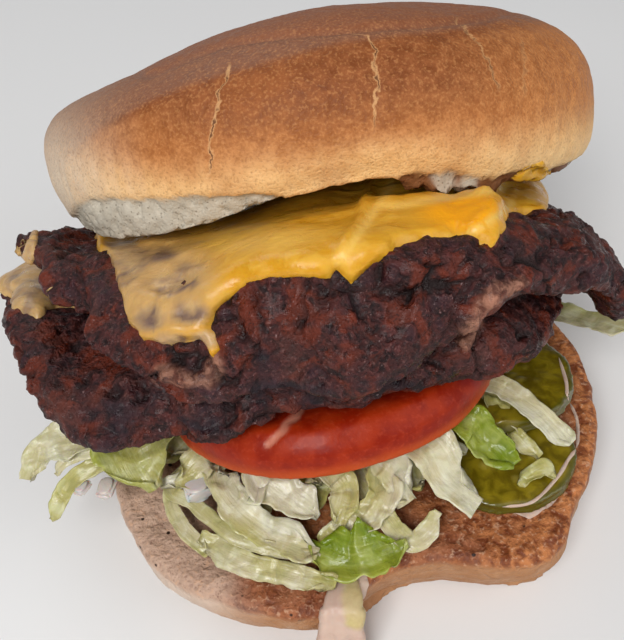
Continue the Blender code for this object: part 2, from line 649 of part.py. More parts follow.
def shred(name, width, cup, path, material, number):
    """A strip of leaf: a wavy band whose two faces are split alike."""
    steps = SHRED_STEPS if len(path) < 5 else SHRED_STEPS + 2
    line = curve_through(path, steps)
    upper = []
    lower = []
    for i, place in enumerate(line):
        along = (line[min(i + 1, steps)] - line[max(i - 1, 0)]).normalized()
        across = along.cross(SHRED_FACING).normalized()
        normal = across.cross(along).normalized()
        taper = 0.72 + 0.28 * math.sin(math.pi * i / steps)
        for k in range(SHRED_ACROSS + 1):
            s = 2.0 * k / SHRED_ACROSS - 1.0
            wave = SHRED_WAVE * rough((i * 1.7, s * 2.0, number), 2.2, 61)
            middle = place + across * (0.5 * width * taper * s) + normal * (cup * (s * s - 0.5) + wave)
            ceiling = heap_ceiling(middle.x, middle.y) - HEAP_CEILING_GAP - SHRED_THICKNESS
            floor = heel_top(middle.x, middle.y) + HEAP_FLOOR_GAP + 0.5 * SHRED_THICKNESS
            middle.z = max(min(middle.z, ceiling), floor)
            upper.append(middle + normal * SHRED_THICKNESS / 2.0)
            lower.append(middle - normal * SHRED_THICKNESS / 2.0)
    across_count = SHRED_ACROSS + 1
    offset = len(upper)
    faces = []
    for i in range(steps):
        for k in range(SHRED_ACROSS):
            a = i * across_count + k
            b = a + across_count
            faces.append((a, b, b + 1, a + 1))
            faces.append((offset + a, offset + a + 1, offset + b + 1, offset + b))
    for i in range(steps):
        a = i * across_count
        b = a + across_count
        faces.append((a, offset + a, offset + b, b))
        c = a + SHRED_ACROSS
        d = b + SHRED_ACROSS
        faces.append((c, d, offset + d, offset + c))
    for k in range(SHRED_ACROSS):
        faces.append((k, k + 1, offset + k + 1, offset + k))
        a = steps * across_count + k
        faces.append((a, offset + a, offset + a + 1, a + 1))
    return add_object(name, upper + lower, faces, material, smooth=False)


def onion_cube(name, size, place, material):
    corners = [Vector((x, y, z)) for x in (-0.5, 0.5) for y in (-0.5, 0.5) for z in (-0.35, 0.35)]
    turn = Matrix.Rotation(math.radians(17.0 * size), 3, "Z")
    points = [Vector(place) + turn @ (corner * size) for corner in corners]
    faces = [(0, 1, 3, 2), (4, 6, 7, 5), (0, 4, 5, 1), (2, 3, 7, 6), (0, 2, 6, 4), (1, 5, 7, 3)]
    return add_object(name, points, faces, material, smooth=False)


def fix_normals(made):
    mesh = bmesh.new()
    mesh.from_mesh(made.data)
    bmesh.ops.recalc_face_normals(mesh, faces=mesh.faces)
    mesh.to_mesh(made.data)
    mesh.free()


def keep_largest_body(made):
    """Drop the loose scraps that a union leaves."""
    mesh = bmesh.new()
    mesh.from_mesh(made.data)
    unseen = set(mesh.verts)
    bodies = []
    while unseen:
        stack = [unseen.pop()]
        body = [stack[0]]
        while stack:
            for edge in stack.pop().link_edges:
                for vert in edge.verts:
                    if vert in unseen:
                        unseen.remove(vert)
                        stack.append(vert)
                        body.append(vert)
        bodies.append(body)
    bodies.sort(key=len)
    for body in bodies[:-1]:
        bmesh.ops.delete(mesh, geom=body, context="VERTS")
    mesh.to_mesh(made.data)
    mesh.free()


def make_lettuce():
    """The heap: a low core with the shreds and onion dice that show, fused into one body."""
    leaf = food_material("lettuce", (0.42, 0.50, 0.16), 0.4)
    heap = spun_solid("lettuce", HEAP_PROFILE, heap_point, 28, leaf)
    pieces = bpy.data.collections.new("shreds")
    bpy.context.scene.collection.children.link(pieces)
    made = [shred("shred_%d" % i, *item, leaf, i) for i, item in enumerate(SHREDS)]
    made += [onion_cube("onion_%d" % i, *item, leaf) for i, item in enumerate(ONION_DICE)]
    for piece in made:
        fix_normals(piece)
        bpy.context.scene.collection.objects.unlink(piece)
        pieces.objects.link(piece)
    union = heap.modifiers.new("shreds", "BOOLEAN")
    union.operation = "UNION"
    union.operand_type = "COLLECTION"
    union.collection = pieces
    union.solver = "EXACT"
    bpy.context.view_layer.update()
    result = heap.evaluated_get(bpy.context.evaluated_depsgraph_get())
    fused = bpy.data.meshes.new_from_object(result)
    heap.modifiers.remove(union)
    heap.data = fused
    for piece in made:
        bpy.data.objects.remove(piece)
    bpy.data.collections.remove(pieces)
    keep_largest_body(heap)
    return heap


def main():
    for old in list(bpy.data.objects):
        bpy.data.objects.remove(old)
    stack = leaning_frame(STACK_ORIGIN, STACK_TILT, STACK_ROLL)
    make_heel()
    make_sauce()
    make_pickles()
    make_lettuce()
    make_tomato()
    make_patties(stack)
    make_cheese(stack)
    make_crown()


main()
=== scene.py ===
"""Looks of a double cheeseburger that gapes at the front.

Each piece starts from its CAD node, is refined, and gets its relief, its painted masks
and a procedural finish. Shreds, relish, films and specks are made here.
Lengths are in millimetres until they are written to a mesh. The front faces -Y.
"""
import math
from itertools import product

import bmesh
import bpy
import numpy as np
from mathutils import Matrix, Vector
from mathutils.bvhtree import BVHTree


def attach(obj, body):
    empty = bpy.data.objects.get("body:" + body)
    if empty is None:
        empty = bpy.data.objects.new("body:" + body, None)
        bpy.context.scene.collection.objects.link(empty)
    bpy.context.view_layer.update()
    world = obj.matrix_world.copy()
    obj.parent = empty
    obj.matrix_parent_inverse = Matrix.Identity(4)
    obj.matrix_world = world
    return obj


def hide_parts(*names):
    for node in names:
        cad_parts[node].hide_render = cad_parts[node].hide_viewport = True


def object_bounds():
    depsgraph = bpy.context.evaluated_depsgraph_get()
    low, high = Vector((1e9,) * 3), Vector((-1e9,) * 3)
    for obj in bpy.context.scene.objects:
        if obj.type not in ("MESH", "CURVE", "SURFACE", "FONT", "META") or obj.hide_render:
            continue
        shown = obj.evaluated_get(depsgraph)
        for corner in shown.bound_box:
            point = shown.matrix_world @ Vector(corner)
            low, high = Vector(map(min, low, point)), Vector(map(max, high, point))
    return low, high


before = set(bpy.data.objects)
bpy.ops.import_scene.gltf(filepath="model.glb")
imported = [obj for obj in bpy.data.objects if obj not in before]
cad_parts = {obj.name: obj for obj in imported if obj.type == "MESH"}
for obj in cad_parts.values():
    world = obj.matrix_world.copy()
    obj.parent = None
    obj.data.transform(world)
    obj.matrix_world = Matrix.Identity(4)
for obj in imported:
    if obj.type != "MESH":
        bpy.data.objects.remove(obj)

CAD_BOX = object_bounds()
MM = 0.001

# Camera, fitted to the photograph's frame
FRAME_WIDTH = 624
FRAME_HEIGHT = 640
FOCAL_PIXELS = 900.0
PIXELS_PER_MM = 4.4
SENSOR_WIDTH = 36.0
CAMERA_PLACE = (-5.75, -132.06, 159.01)
CAMERA_PITCH = 42.52
CAMERA_ROLL = -6.53

# Frames of the leaning pieces, as in the CAD: origin, tilt and roll
CROWN_FRAME = ((0.1, 31.1, 49.3), 27.0, -0.5)
TOMATO_FRAME = ((-3.6, -5.4, 25.0), 18.0, 3.5)
PICKLE_FRAMES = {
    "pickle_1": ((28.0, -21.0, 14.95), 0.0, 0.0),
    "pickle_2": ((29.0, -5.5, 18.7), 11.0, 0.0),
}

# How each CAD node is refined: rounds of subdivision, the size of its cubes in millimetres,
# and rounds of smoothing
REFINED = {
    "bun_crown": (2, 0.75, 6),
    "bun_heel": (2, 0.75, 4),
    "patty_lower": (1, 0.64, 3),
    "patty_upper": (1, 0.64, 3),
    "tomato": (2, 0.6, 4),
    "pickle_1": (2, 0.5, 3),
    "pickle_2": (2, 0.5, 3),
    "sauce": (2, 0.25, 4),
}
# The same for the smooth meat that the melted slices lie on
MEAT_BASE = (1, 0.9, 1)


# ---------------------------------------------------------------- numbers

def ease(low, high, values):
    """Smooth step from 0 at low to 1 at high."""
    t = np.clip((np.asarray(values, float) - low) / (high - low), 0.0, 1.0)
    return t * t * (3.0 - 2.0 * t)


def between(start, low, high, end, values):
    """Smooth step that is 1 from low to high, and 0 before start and after end."""
    return ease(start, low, values) * ease(end, high, values)


def hashed(cells, seed):
    """Pseudo-random numbers from 0 to 1, one for each whole-numbered cell."""
    n = (cells[..., 0] * 73856093) ^ (cells[..., 1] * 19349663) ^ (cells[..., 2] * 83492791)
    n = (n ^ (seed * 2654435761)) & 0xFFFFFFFF
    n = ((n ^ (n >> 15)) * 1274126177) & 0xFFFFFFFF
    n = ((n ^ (n >> 13)) * 1103515245) & 0xFFFFFFFF
    return (n ^ (n >> 16)) / 4294967296.0


def soft_noise(points, size, seed):
    """Smooth noise from -1 to 1 with lumps of about the given size."""
    place = np.asarray(points, float) / size
    base = np.floor(place)
    t = place - base
    t = t * t * (3.0 - 2.0 * t)
    base = base.astype(np.int64)
    total = np.zeros(len(place))
    for corner in product((0, 1), repeat=3):
        weight = np.prod(np.where(corner, t, 1.0 - t), axis=1)
        total += weight * hashed(base + np.array(corner), seed)
    return 2.0 * total - 1.0


def rough_noise(points, size, seed, octaves=3):
    """Fractal noise from about -1 to 1."""
    total = np.zeros(len(points))
    for octave in range(octaves):
        total += soft_noise(points, size / 2 ** octave, seed + 17 * octave) / 2 ** octave
    return total / 1.5


def cell_noise(points, size, seed):
    """Distances to the nearest and the second nearest of scattered points, in cells."""
    place = np.asarray(points, float) / size
    base = np.floor(place).astype(np.int64)
    nearest = np.full(len(place), 9.0)
    second = np.full(len(place), 9.0)
    for offset in product((-1, 0, 1), repeat=3):
        cell = base + np.array(offset)
        centre = cell + np.stack([hashed(cell, seed + k) for k in range(3)], axis=1)
        gap = np.sqrt(((place - centre) ** 2).sum(axis=1))
        second = np.minimum(second, np.maximum(nearest, gap))
        nearest = np.minimum(nearest, gap)
    return nearest, second


def distance_to_line(points, line):
    """Distance from each point to a line of straight runs, in 2 or 3 dimensions."""
    points = np.asarray(points, float)
    line = np.asarray(line, float)
    best = np.full(len(points), 1e9)
    for start, end in zip(line, line[1:]):
        run = end - start
        share = np.clip(((points - start) @ run) / (run @ run), 0.0, 1.0)
        gap = np.sqrt(((points - start - share[:, None] * run) ** 2).sum(axis=1))
        best = np.minimum(best, gap)
    return best


def curve_through(points, steps):
    """Smooth line through the given points (Catmull-Rom)."""
    knots = [Vector(p) for p in points]
    knots = [2.0 * knots[0] - knots[1]] + knots + [2.0 * knots[-1] - knots[-2]]
    spans = len(points) - 1
    line = []
    for i in range(steps + 1):
        place = min(i * spans / steps, spans - 1e-6)
        k = int(place)
        t = place - k
        p0, p1, p2, p3 = knots[k:k + 4]
        line.append(0.5 * (2.0 * p1 + (p2 - p0) * t + (2.0 * p0 - 5.0 * p1 + 4.0 * p2 - p3) * t * t
                           + (3.0 * p1 - p0 - 3.0 * p2 + p3) * t ** 3))
    return line


def wander(points, size, seed, count=2):
    """Soft noises side by side, which push places about."""
    return np.stack([soft_noise(points, size, seed + k) for k in range(count)], axis=1)


def flat_places(x, y):
    """Places of a flat pattern, for the noise functions."""
    return np.stack([x, y, np.zeros(len(x))], axis=1)


def near_lines(places, lines, far, near):
    """A mask that is 1 close to some lines and 0 far from them."""
    return np.max([ease(far, near, distance_to_line(places, line)) for line in lines], axis=0)


def read_table(table, values):
    """Heights of a line of straight runs, whose corners are pairs of place and height."""
    return np.interp(values, *np.array(table).T)


# ---------------------------------------------------------------- camera and its pixels

def camera_axes():
    """Right, up and back of the camera."""
    pitch = math.radians(CAMERA_PITCH)
    roll = math.radians(CAMERA_ROLL)
    right = Vector((1.0, 0.0, 0.0))
    up = Vector((0.0, math.sin(pitch), math.cos(pitch)))
    back = Vector((0.0, -math.cos(pitch), math.sin(pitch)))
    rolled_right = right * math.cos(roll) + up * math.sin(roll)
    rolled_up = up * math.cos(roll) - right * math.sin(roll)
    return [np.array(axis) for axis in (rolled_right, rolled_up, back)]


RIGHT, UP, BACK = camera_axes()


def make_camera():
    data = bpy.data.cameras.new("camera")
    data.sensor_width = SENSOR_WIDTH
    data.lens = FOCAL_PIXELS * SENSOR_WIDTH / FRAME_HEIGHT
    data.clip_start = 0.001
    camera = bpy.data.objects.new("camera", data)
    turn = Matrix(np.column_stack((RIGHT, UP, BACK))).to_4x4()
    camera.matrix_world = Matrix.Translation(Vector(CAMERA_PLACE) * MM) @ turn
    bpy.context.scene.collection.objects.link(camera)
    bpy.context.scene.camera = camera


def pixels_of(points):
    """Where points fall in the photograph's frame."""
    gap = np.asarray(points, float) - np.array(CAMERA_PLACE)
    depth = -(gap @ BACK)
    x = FRAME_WIDTH / 2 + FOCAL_PIXELS * (gap @ RIGHT) / depth
    y = FRAME_HEIGHT / 2 - FOCAL_PIXELS * (gap @ UP) / depth
    return np.stack([x, y], axis=1)


def ray_through(pixel):
    """Direction from the camera through a pixel."""
    x = (pixel[0] - FRAME_WIDTH / 2) / FOCAL_PIXELS
    y = (FRAME_HEIGHT / 2 - pixel[1]) / FOCAL_PIXELS
    return Vector(RIGHT * x + UP * y - BACK).normalized()


def spot(pixels, centre, reach_x, reach_y):
    """A soft oval mask about a pixel, 1 in the middle and 0 past its reach."""
    gap = np.hypot((pixels[:, 0] - centre[0]) / reach_x, (pixels[:, 1] - centre[1]) / reach_y)
    return ease(1.0, 0.4, gap)


def spots(pixels, table, most=1.0):
    """Several spots in one mask, each given as its centre and its reach."""
    return np.minimum(sum(spot(pixels, *row) for row in table), most)


def inside_ring(pixels, ring, edge):
    """Signed distance from a closed outline, or from an edge that is part of it, positive inside."""
    ring = np.array(ring + ring[:1], float)
    inside = np.zeros(len(pixels), bool)
    for (x0, y0), (x1, y1) in zip(ring, ring[1:]):
        spans = (y0 > pixels[:, 1]) != (y1 > pixels[:, 1])
        meets = x0 + (pixels[:, 1] - y0) * (x1 - x0) / ((y1 - y0) or 1e-9)
        inside ^= spans & (pixels[:, 0] < meets)
    return np.where(inside, 1.0, -1.0) * distance_to_line(pixels, ring if edge is None else edge)


# Millimetres that a surface turned away from the camera counts as farther out
HIDDEN_DROP = 6.0


def seen_reach(points, normals, rings, shift, edge=None):
    """Millimetres that places lie inside outlines of pixels, on the side that the camera sees."""
    pixels = pixels_of(points) + shift
    inside = np.max([inside_ring(pixels, ring, edge) for ring in rings], axis=0) / PIXELS_PER_MM
    return inside - HIDDEN_DROP * ease(0.1, -0.3, normals @ BACK)


# ---------------------------------------------------------------- meshes

# Times that a cage is fitted, and millimetres that pieces keep from the sides of the CAD model's box
CAGE_ROUNDS = 3
BOX_MARGIN = 0.05


def new_object(name, mesh):
    made = bpy.data.objects.new(name, mesh)
    bpy.context.scene.collection.objects.link(made)
    return made


def object_of(name, work):
    """A new object with the shape of a bmesh, which is freed."""
    mesh = bpy.data.meshes.new(name)
    work.to_mesh(mesh)
    work.free()
    return new_object(name, mesh)


def object_from(name, points, faces):
    """A new object from points in millimetres and faces."""
    mesh = bpy.data.meshes.new(name)
    mesh.from_pydata([tuple(point * MM) for point in points], [], faces)
    return new_object(name, mesh)


def node_copy(name, node):
    """A free copy of a CAD node, welded, its triangles paired into quads."""
    work = bmesh.new()
    work.from_mesh(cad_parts[node].data)
    bmesh.ops.remove_doubles(work, verts=work.verts, dist=1e-6)
    bmesh.ops.join_triangles(work, faces=work.faces, angle_face_threshold=0.6, angle_shape_threshold=1.2)
    return object_of(name, work)


def apply_modifiers(piece):
    bpy.context.view_layer.update()
    result = piece.evaluated_get(bpy.context.evaluated_depsgraph_get())
    mesh = bpy.data.meshes.new_from_object(result)
    piece.modifiers.clear()
    piece.data = mesh
    return piece


def fit_cage(piece):
    """Swell a coarse cage until its subdivided surface passes through its own old corners."""
    corners = points_of(piece)
    cage = corners.copy()
    for _ in range(CAGE_ROUNDS):
        bpy.context.view_layer.update()
        result = piece.evaluated_get(bpy.context.evaluated_depsgraph_get())
        cage += corners - points_of(result)[:len(corners)]
        set_points(piece, cage)


def refine(piece, levels, voxel=None, smooth=0):
    """Subdivide, then remesh evenly where a voxel size in millimetres is given."""
    subdivision = piece.modifiers.new("subdivision", "SUBSURF")
    subdivision.levels = levels
    fit_cage(piece)
    if voxel:
        remesh = piece.modifiers.new("remesh", "REMESH")
        remesh.mode = "VOXEL"
        remesh.voxel_size = voxel * MM
    if smooth:
        relax = piece.modifiers.new("relax", "SMOOTH")
        relax.iterations = smooth
    return apply_modifiers(piece)


def read_vectors(rows, name):
    values = np.empty(3 * len(rows), np.float32)
    rows.foreach_get(name, values)
    return values.reshape(-1, 3).astype(float)


def points_of(piece):
    return read_vectors(piece.data.vertices, "co") / MM


def normals_of(piece):
    return read_vectors(piece.data.vertex_normals, "vector")


def set_points(piece, points):
    piece.data.vertices.foreach_set("co", (points * MM).astype(np.float32).ravel())
    piece.data.update()


def surface_of(piece):
    """A piece's points and normals, and where the points fall in the photograph's frame."""
    points = points_of(piece)
    return points, normals_of(piece), pixels_of(points)


def refined_copy(name, node):
    """A refined copy of a CAD node, with its surface."""
    piece = refine(node_copy(name, node), *REFINED[node])
    return piece, *surface_of(piece)


def paint(piece, name, values):
    """Keep a mask on the piece's points for its material."""
    layer = piece.data.attributes.new(name, "FLOAT", "POINT")
    layer.data.foreach_set("value", np.clip(values, 0.0, 1.0).astype(np.float32))


def leaning_axes(place):
    """Axes of a leaning piece's own frame, as columns."""
    _, tilt, roll = place
    tilted = Matrix.Rotation(math.radians(-tilt), 3, "X")
    return np.array(tilted @ Matrix.Rotation(math.radians(-roll), 3, "Y"))


def local_points(points, place):
    """Points in a leaning piece's own frame."""
    return (points - np.array(place[0])) @ leaning_axes(place)


def hold_inside(piece):
    """Keep a piece's points within the CAD model's box."""
    low = np.array(CAD_BOX[0]) / MM + BOX_MARGIN
    high = np.array(CAD_BOX[1]) / MM - BOX_MARGIN
    set_points(piece, np.clip(points_of(piece), low, high))


def finish_piece(piece, material, slot, *nodes, masks=None):
    """Keep a piece inside the box, paint its masks, shade it and attach it."""
    hold_inside(piece)
    for name, values in (masks or {}).items():
        paint(piece, name, np.asarray(values))
    piece.data.materials.clear()
    piece.data.materials.append(material)
    piece.data.shade_smooth()
    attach(piece, "root")
    if nodes:
        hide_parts(*nodes)


def surface_tree(*pieces):
    """A search tree over finished pieces, in millimetres."""
    points = []
    faces = []
    for piece in pieces:
        start = len(points)
        points += [tuple(p) for p in points_of(piece)]
        faces += [tuple(start + v for v in face.vertices) for face in piece.data.polygons]
    return BVHTree.FromPolygons(points, faces)


def seen_points(tree, pixels):
    """Points of a surface that lie behind the given pixels, with their normals."""
    found = []
    for pixel in pixels:
        place, normal, _, _ = tree.ray_cast(Vector(CAMERA_PLACE), ray_through(pixel))
        if place is not None:
            found.append((place, normal))
    return found


# How far past its edge a film is kept while it is shaped, and how thick its hidden backing is
FILM_MARGIN = 1.5
FILM_BACKING = 1.2


def film_on(carrier, name, coverage, relax, dive=1.0):
    """A thin layer on a carrier's surface, lying where its coverage in millimetres is positive.

    coverage gives, for points and their normals, the coverage and the layer's thickness.
    Past its edge the film dives into the carrier.
    """
    film = new_object(name, carrier.data.copy())
    for mask in [layer.name for layer in film.data.attributes if layer.data_type == "FLOAT"]:
        film.data.attributes.remove(film.data.attributes[mask])
    cover = coverage(points_of(film), normals_of(film))[0]
    work = bmesh.new()
    work.from_mesh(film.data)
    work.verts.ensure_lookup_table()
    near = {work.verts[i] for i in np.flatnonzero(np.abs(cover) < FILM_MARGIN)}
    bare = [work.verts[i] for i in np.flatnonzero(cover <= -FILM_MARGIN)]
    bmesh.ops.delete(work, geom=bare, context="VERTS")
    edges = [edge for edge in work.edges if edge.verts[0] in near and edge.verts[1] in near]
    bmesh.ops.subdivide_edges(work, edges=edges, cuts=1, use_grid_fill=True)
    work.to_mesh(film.data)
    work.free()
    softened = film.modifiers.new("relax", "SMOOTH")
    softened.iterations = relax
    apply_modifiers(film)
    points = points_of(film)
    normals = normals_of(film)
    cover, thickness = coverage(points, normals)
    thickness = thickness * (0.5 + 0.5 * ease(0.0, 3.0, cover))
    lift = (thickness + dive) * ease(-0.6, 0.8, cover) - dive
    set_points(film, points + normals * lift[:, None])
    backing = film.modifiers.new("backing", "SOLIDIFY")
    backing.thickness = FILM_BACKING * MM
    backing.offset = -1.0
    return apply_modifiers(film)


def patch_on(carrier, name, rings, thickness, material, slot, relax=2):
    """A smear on the side of a carrier that the camera sees, inside the given outlines."""
    def cover(points, normals):
        inside = seen_reach(points, normals, rings, 2.5 * wander(points, 2.6, 111))
        return inside, thickness + 0.2 * soft_noise(points, 2.0, 113)

    patch = film_on(carrier, name, cover, relax)
    finish_piece(patch, material, slot)
    return patch


# ---------------------------------------------------------------- materials

# Millimetres that the painted strand coordinates span
STRAND_SPAN = 200.0


def srgb(red, green, blue):
    """A screen colour from 0 to 255 in linear light."""
    shares = (red / 255.0, green / 255.0, blue / 255.0)
    return tuple(s / 12.92 if s <= 0.04045 else ((s + 0.055) / 1.055) ** 2.4 for s in shares)


class Finish:
    """A Principled material put together from procedural layers."""

    def __init__(self, name, roughness, specular=0.5, coat=(), scatter=()):
        """coat is its weight and roughness; scatter is its weight, scale and radius."""
        self.material = bpy.data.materials.new(name)
        self.material.use_nodes = True
        self.tree = self.material.node_tree
        self.shader = self.tree.nodes["Principled BSDF"]
        self.place = self.node("TexCoord").outputs["Object"]
        self.place = self.stretched(1.0 / MM, 1.0 / MM, 1.0 / MM)
        settings = {"Roughness": roughness, "Specular IOR Level": specular}
        settings.update(zip(("Coat Weight", "Coat Roughness"), coat))
        settings.update(zip(("Subsurface Weight", "Subsurface Scale", "Subsurface Radius"), scatter))
        for socket, value in settings.items():
            self.link(value, self.shader.inputs[socket])

    def link(self, source, target):
        """Feed an input from a socket, or give it a value."""
        if hasattr(source, "is_linked"):
            self.tree.links.new(source, target)
        else:
            target.default_value = source

    def node(self, kind, inputs=(), **settings):
        """Add a node, with its settings, and its inputs as values or sockets."""
        node = self.tree.nodes.new("ShaderNode" + kind)
        for name, value in settings.items():
            setattr(node, name, value)
        for name, value in dict(inputs).items():
            self.link(value, node.inputs[name])
        return node

    def stretched(self, x, y, z):
        """The place, squeezed along each axis."""
        return self.node("Mapping", {"Vector": self.place, "Scale": (x, y, z)}).outputs["Vector"]

    def noise(self, size, detail=3.0, place=None, warp=0.0):
        inputs = {"Vector": place or self.place, "Scale": 1.0 / size, "Detail": detail, "Distortion": warp}
        return self.node("TexNoise", inputs).outputs["Fac"]

    def cells(self, size):
        return self.node("TexVoronoi", {"Vector": self.place, "Scale": 1.0 / size}).outputs["Distance"]

    def mask(self, name):
        return self.node("Attribute", attribute_name=name).outputs["Fac"]

    def strand_place(self, across, along):
        """A place that runs with each strand, from its painted coordinates."""
        join = self.node("CombineXYZ", {"X": self.mask("across"), "Y": self.mask("along")})
        scale = (STRAND_SPAN / across, STRAND_SPAN / along, 1.0)
        return self.node("Mapping", {"Vector": join.outputs["Vector"], "Scale": scale}).outputs["Vector"]

    def span(self, value, low, high, to_low=0.0, to_high=1.0):
        """A value moved from one range to another and held within it."""
        inputs = {"Value": value, "From Min": low, "From Max": high, "To Min": to_low, "To Max": to_high}
        return self.node("MapRange", inputs, interpolation_type="SMOOTHSTEP").outputs["Result"]

    def math(self, operation, a, b):
        return self.node("Math", {0: a, 1: b}, operation=operation).outputs["Value"]

    def blend(self, share, a, b):
        """Mix two colours by a socket or a painted mask; each is a screen colour or a socket."""
        share = self.mask(share) if isinstance(share, str) else share
        a, b = (value if hasattr(value, "is_linked") else (*srgb(*value), 1.0) for value in (a, b))
        return self.node("Mix", {0: share, 6: a, 7: b}, data_type="RGBA").outputs[2]

    def layers(self, colour, *tops):
        """Lay colours over a first one.

        Each is (source, low, high, share, colour), for a noise that brings it in from low to high
        up to its share, or (source, colour), for a socket or a painted mask.
        """
        for source, *run, top in tops:
            if run:
                low, high, share = run
                source = self.span(source, low, high, 0.0, share)
            colour = self.blend(source, colour, top)
        return colour

    def colour(self, value):
        self.tree.links.new(value, self.shader.inputs["Base Color"])

    def roughness(self, value):
        self.tree.links.new(value, self.shader.inputs["Roughness"])

    def bumps(self, *layers):
        """Stack bump layers; each is a height socket and its depth in millimetres."""
        inputs = {"Strength": 1.0}
        for height, depth in layers:
            inputs.update({"Height": height, "Distance": depth * MM})
            inputs["Normal"] = self.node("Bump", inputs).outputs["Normal"]
        self.tree.links.new(inputs["Normal"], self.shader.inputs["Normal"])


# ---------------------------------------------------------------- crown

# Splits in the crust: how bold each is, and the pixels that it passes
CROWN_CRACKS = (
    (1.0, ((231, 65), (226, 78), (219, 90), (218, 108), (209, 141), (212, 155), (207, 186))),
    (1.0, ((348, 34), (366, 35), (375, 48), (374, 68), (377, 87), (374, 104), (375, 128))),
    (0.7, ((457, 17), (471, 35), (480, 45), (486, 57), (493, 70), (500, 92))),
    (0.3, ((523, 41), (524, 70), (524, 99))),
)
# Millimetres on each side of a split that the painted distance spans
CRACK_SPAN = 5.0
# Upper edge of the golden side, and the crease behind it, where the flattened top folds over
GOLDEN_EDGE = (
    (60, 165), (80, 146), (105, 125), (150, 100), (190, 87), (230, 74), (290, 58), (340, 46), (400, 37),
    (450, 30), (500, 22),
)
CROWN_CREASE = (
    (147, 76), (190, 57), (224, 45), (270, 38), (320, 33), (376, 28), (424, 24), (476, 19), (507, 14),
)
# How far the rim lifts over the melted slice: pixel across the frame, and millimetres
RIM_LIFT = ((235, 0.0), (285, 1.6), (330, 2.8), (375, 3.5), (440, 2.4), (500, 0.0))
# How far the torn crumb sags onto the meat at the left: pixel across the frame, and millimetres
CRUMB_SAG = ((50, 0.0), (78, 2.6), (120, 3.2), (185, 2.4), (250, 0.0))

# Where the crumb is torn open, across the crown: where that starts, is full, is still full, and ends
CRUMB_RUN = (-54.0, -44.0, -18.0, -2.0)


def crown_finish():
    crust = Finish("bun_crust", 0.5, 0.14)
    fine = crust.noise(0.45, 3.0)
    speckle = crust.noise(0.5, 2.0)
    mottle = crust.noise(1.9, 4.0)
    near = crust.mask("crack_near")
    side = crust.math("MULTIPLY", crust.math("SUBTRACT", crust.mask("crack_side"), 0.5), 2.0 * CRACK_SPAN)
    wobble = crust.math("MULTIPLY", crust.math("SUBTRACT", crust.noise(1.6, 3.0), 0.5), 3.0)
    gap = crust.math("ABSOLUTE", crust.math("ADD", side, wobble), 0.0)
    lips = crust.math("MULTIPLY", crust.span(gap, 0.55, 0.15, 0.0, 0.7), near)
    depth = crust.span(crust.noise(3.0), 0.4, 0.55, 0.0, 0.85)
    # Painted shade down the middle of each split
    cut = crust.math("MULTIPLY", crust.span(gap, 0.26, 0.1), depth)
    skin = crust.layers(
        crust.blend(mottle, (238, 188, 120), (252, 220, 164)),
        ("baked", crust.layers((176, 108, 54), (mottle, 0.25, 0.75, 1.0, (206, 138, 80)))),
        # browned crust, darkened further towards the top by painted shade
        ("browned", crust.layers((114, 60, 28), (mottle, 0.25, 0.75, 1.0, (146, 86, 48)))),
        (crust.noise(12.0, 3.0), 0.45, 0.7, 0.35, (158, 92, 46)),
        # duller crust above the golden edge, with painted shade in the crease's groove
        ("dull", crust.blend(mottle, (112, 74, 56), (142, 100, 78))),
        ("folded", crust.blend(mottle, (124, 70, 44), (150, 94, 62))),
        ("floury", crust.blend(mottle, (196, 174, 148), (222, 208, 188))),
        (speckle, 0.48, 0.72, 0.26, (218, 156, 98)),
        (speckle, 0.5, 0.32, 0.3, (128, 72, 38)),
        (lips, (212, 162, 110)),
        # painted shade down the middle of each split
        (crust.math("MULTIPLY", cut, near), (84, 44, 24)),
    )
    crumb = crust.layers(
        crust.blend(mottle, (208, 200, 184), (172, 160, 140)),
        (crust.cells(0.9), 0.28, 0.1, 0.5, (84, 68, 50)),
        ("scorched", (122, 78, 46)),
    )
    crust.colour(crust.blend("crumb", skin, crumb))
    crust.roughness(crust.span(mottle, 0.3, 0.7, 0.42, 0.62))
    crust.bumps((fine, 0.14), (speckle, 0.16))
    return crust.material


def crown_cracks(pixels, facing):
    """The signed distance from the nearest split, and how close and bold it is."""
    crack_side = np.full(len(pixels), CRACK_SPAN)
    crack_near = np.zeros(len(pixels))
    for bold, line in CROWN_CRACKS:
        top, foot = line[0][1], line[-1][1]
        side = (pixels[:, 0] - read_table([(y, x) for x, y in line], pixels[:, 1])) / PIXELS_PER_MM
        crack_side = np.where(np.abs(side) < np.abs(crack_side), side, crack_side)
        within = between(top - 3.0, top + 2.0, foot - 12.0, foot + 3.0, pixels[:, 1])
        reach = ease(0.8 * CRACK_SPAN, 0.5 * CRACK_SPAN, np.abs(side))
        crack_near = np.maximum(crack_near, bold * within * facing * reach)
    return crack_side, crack_near


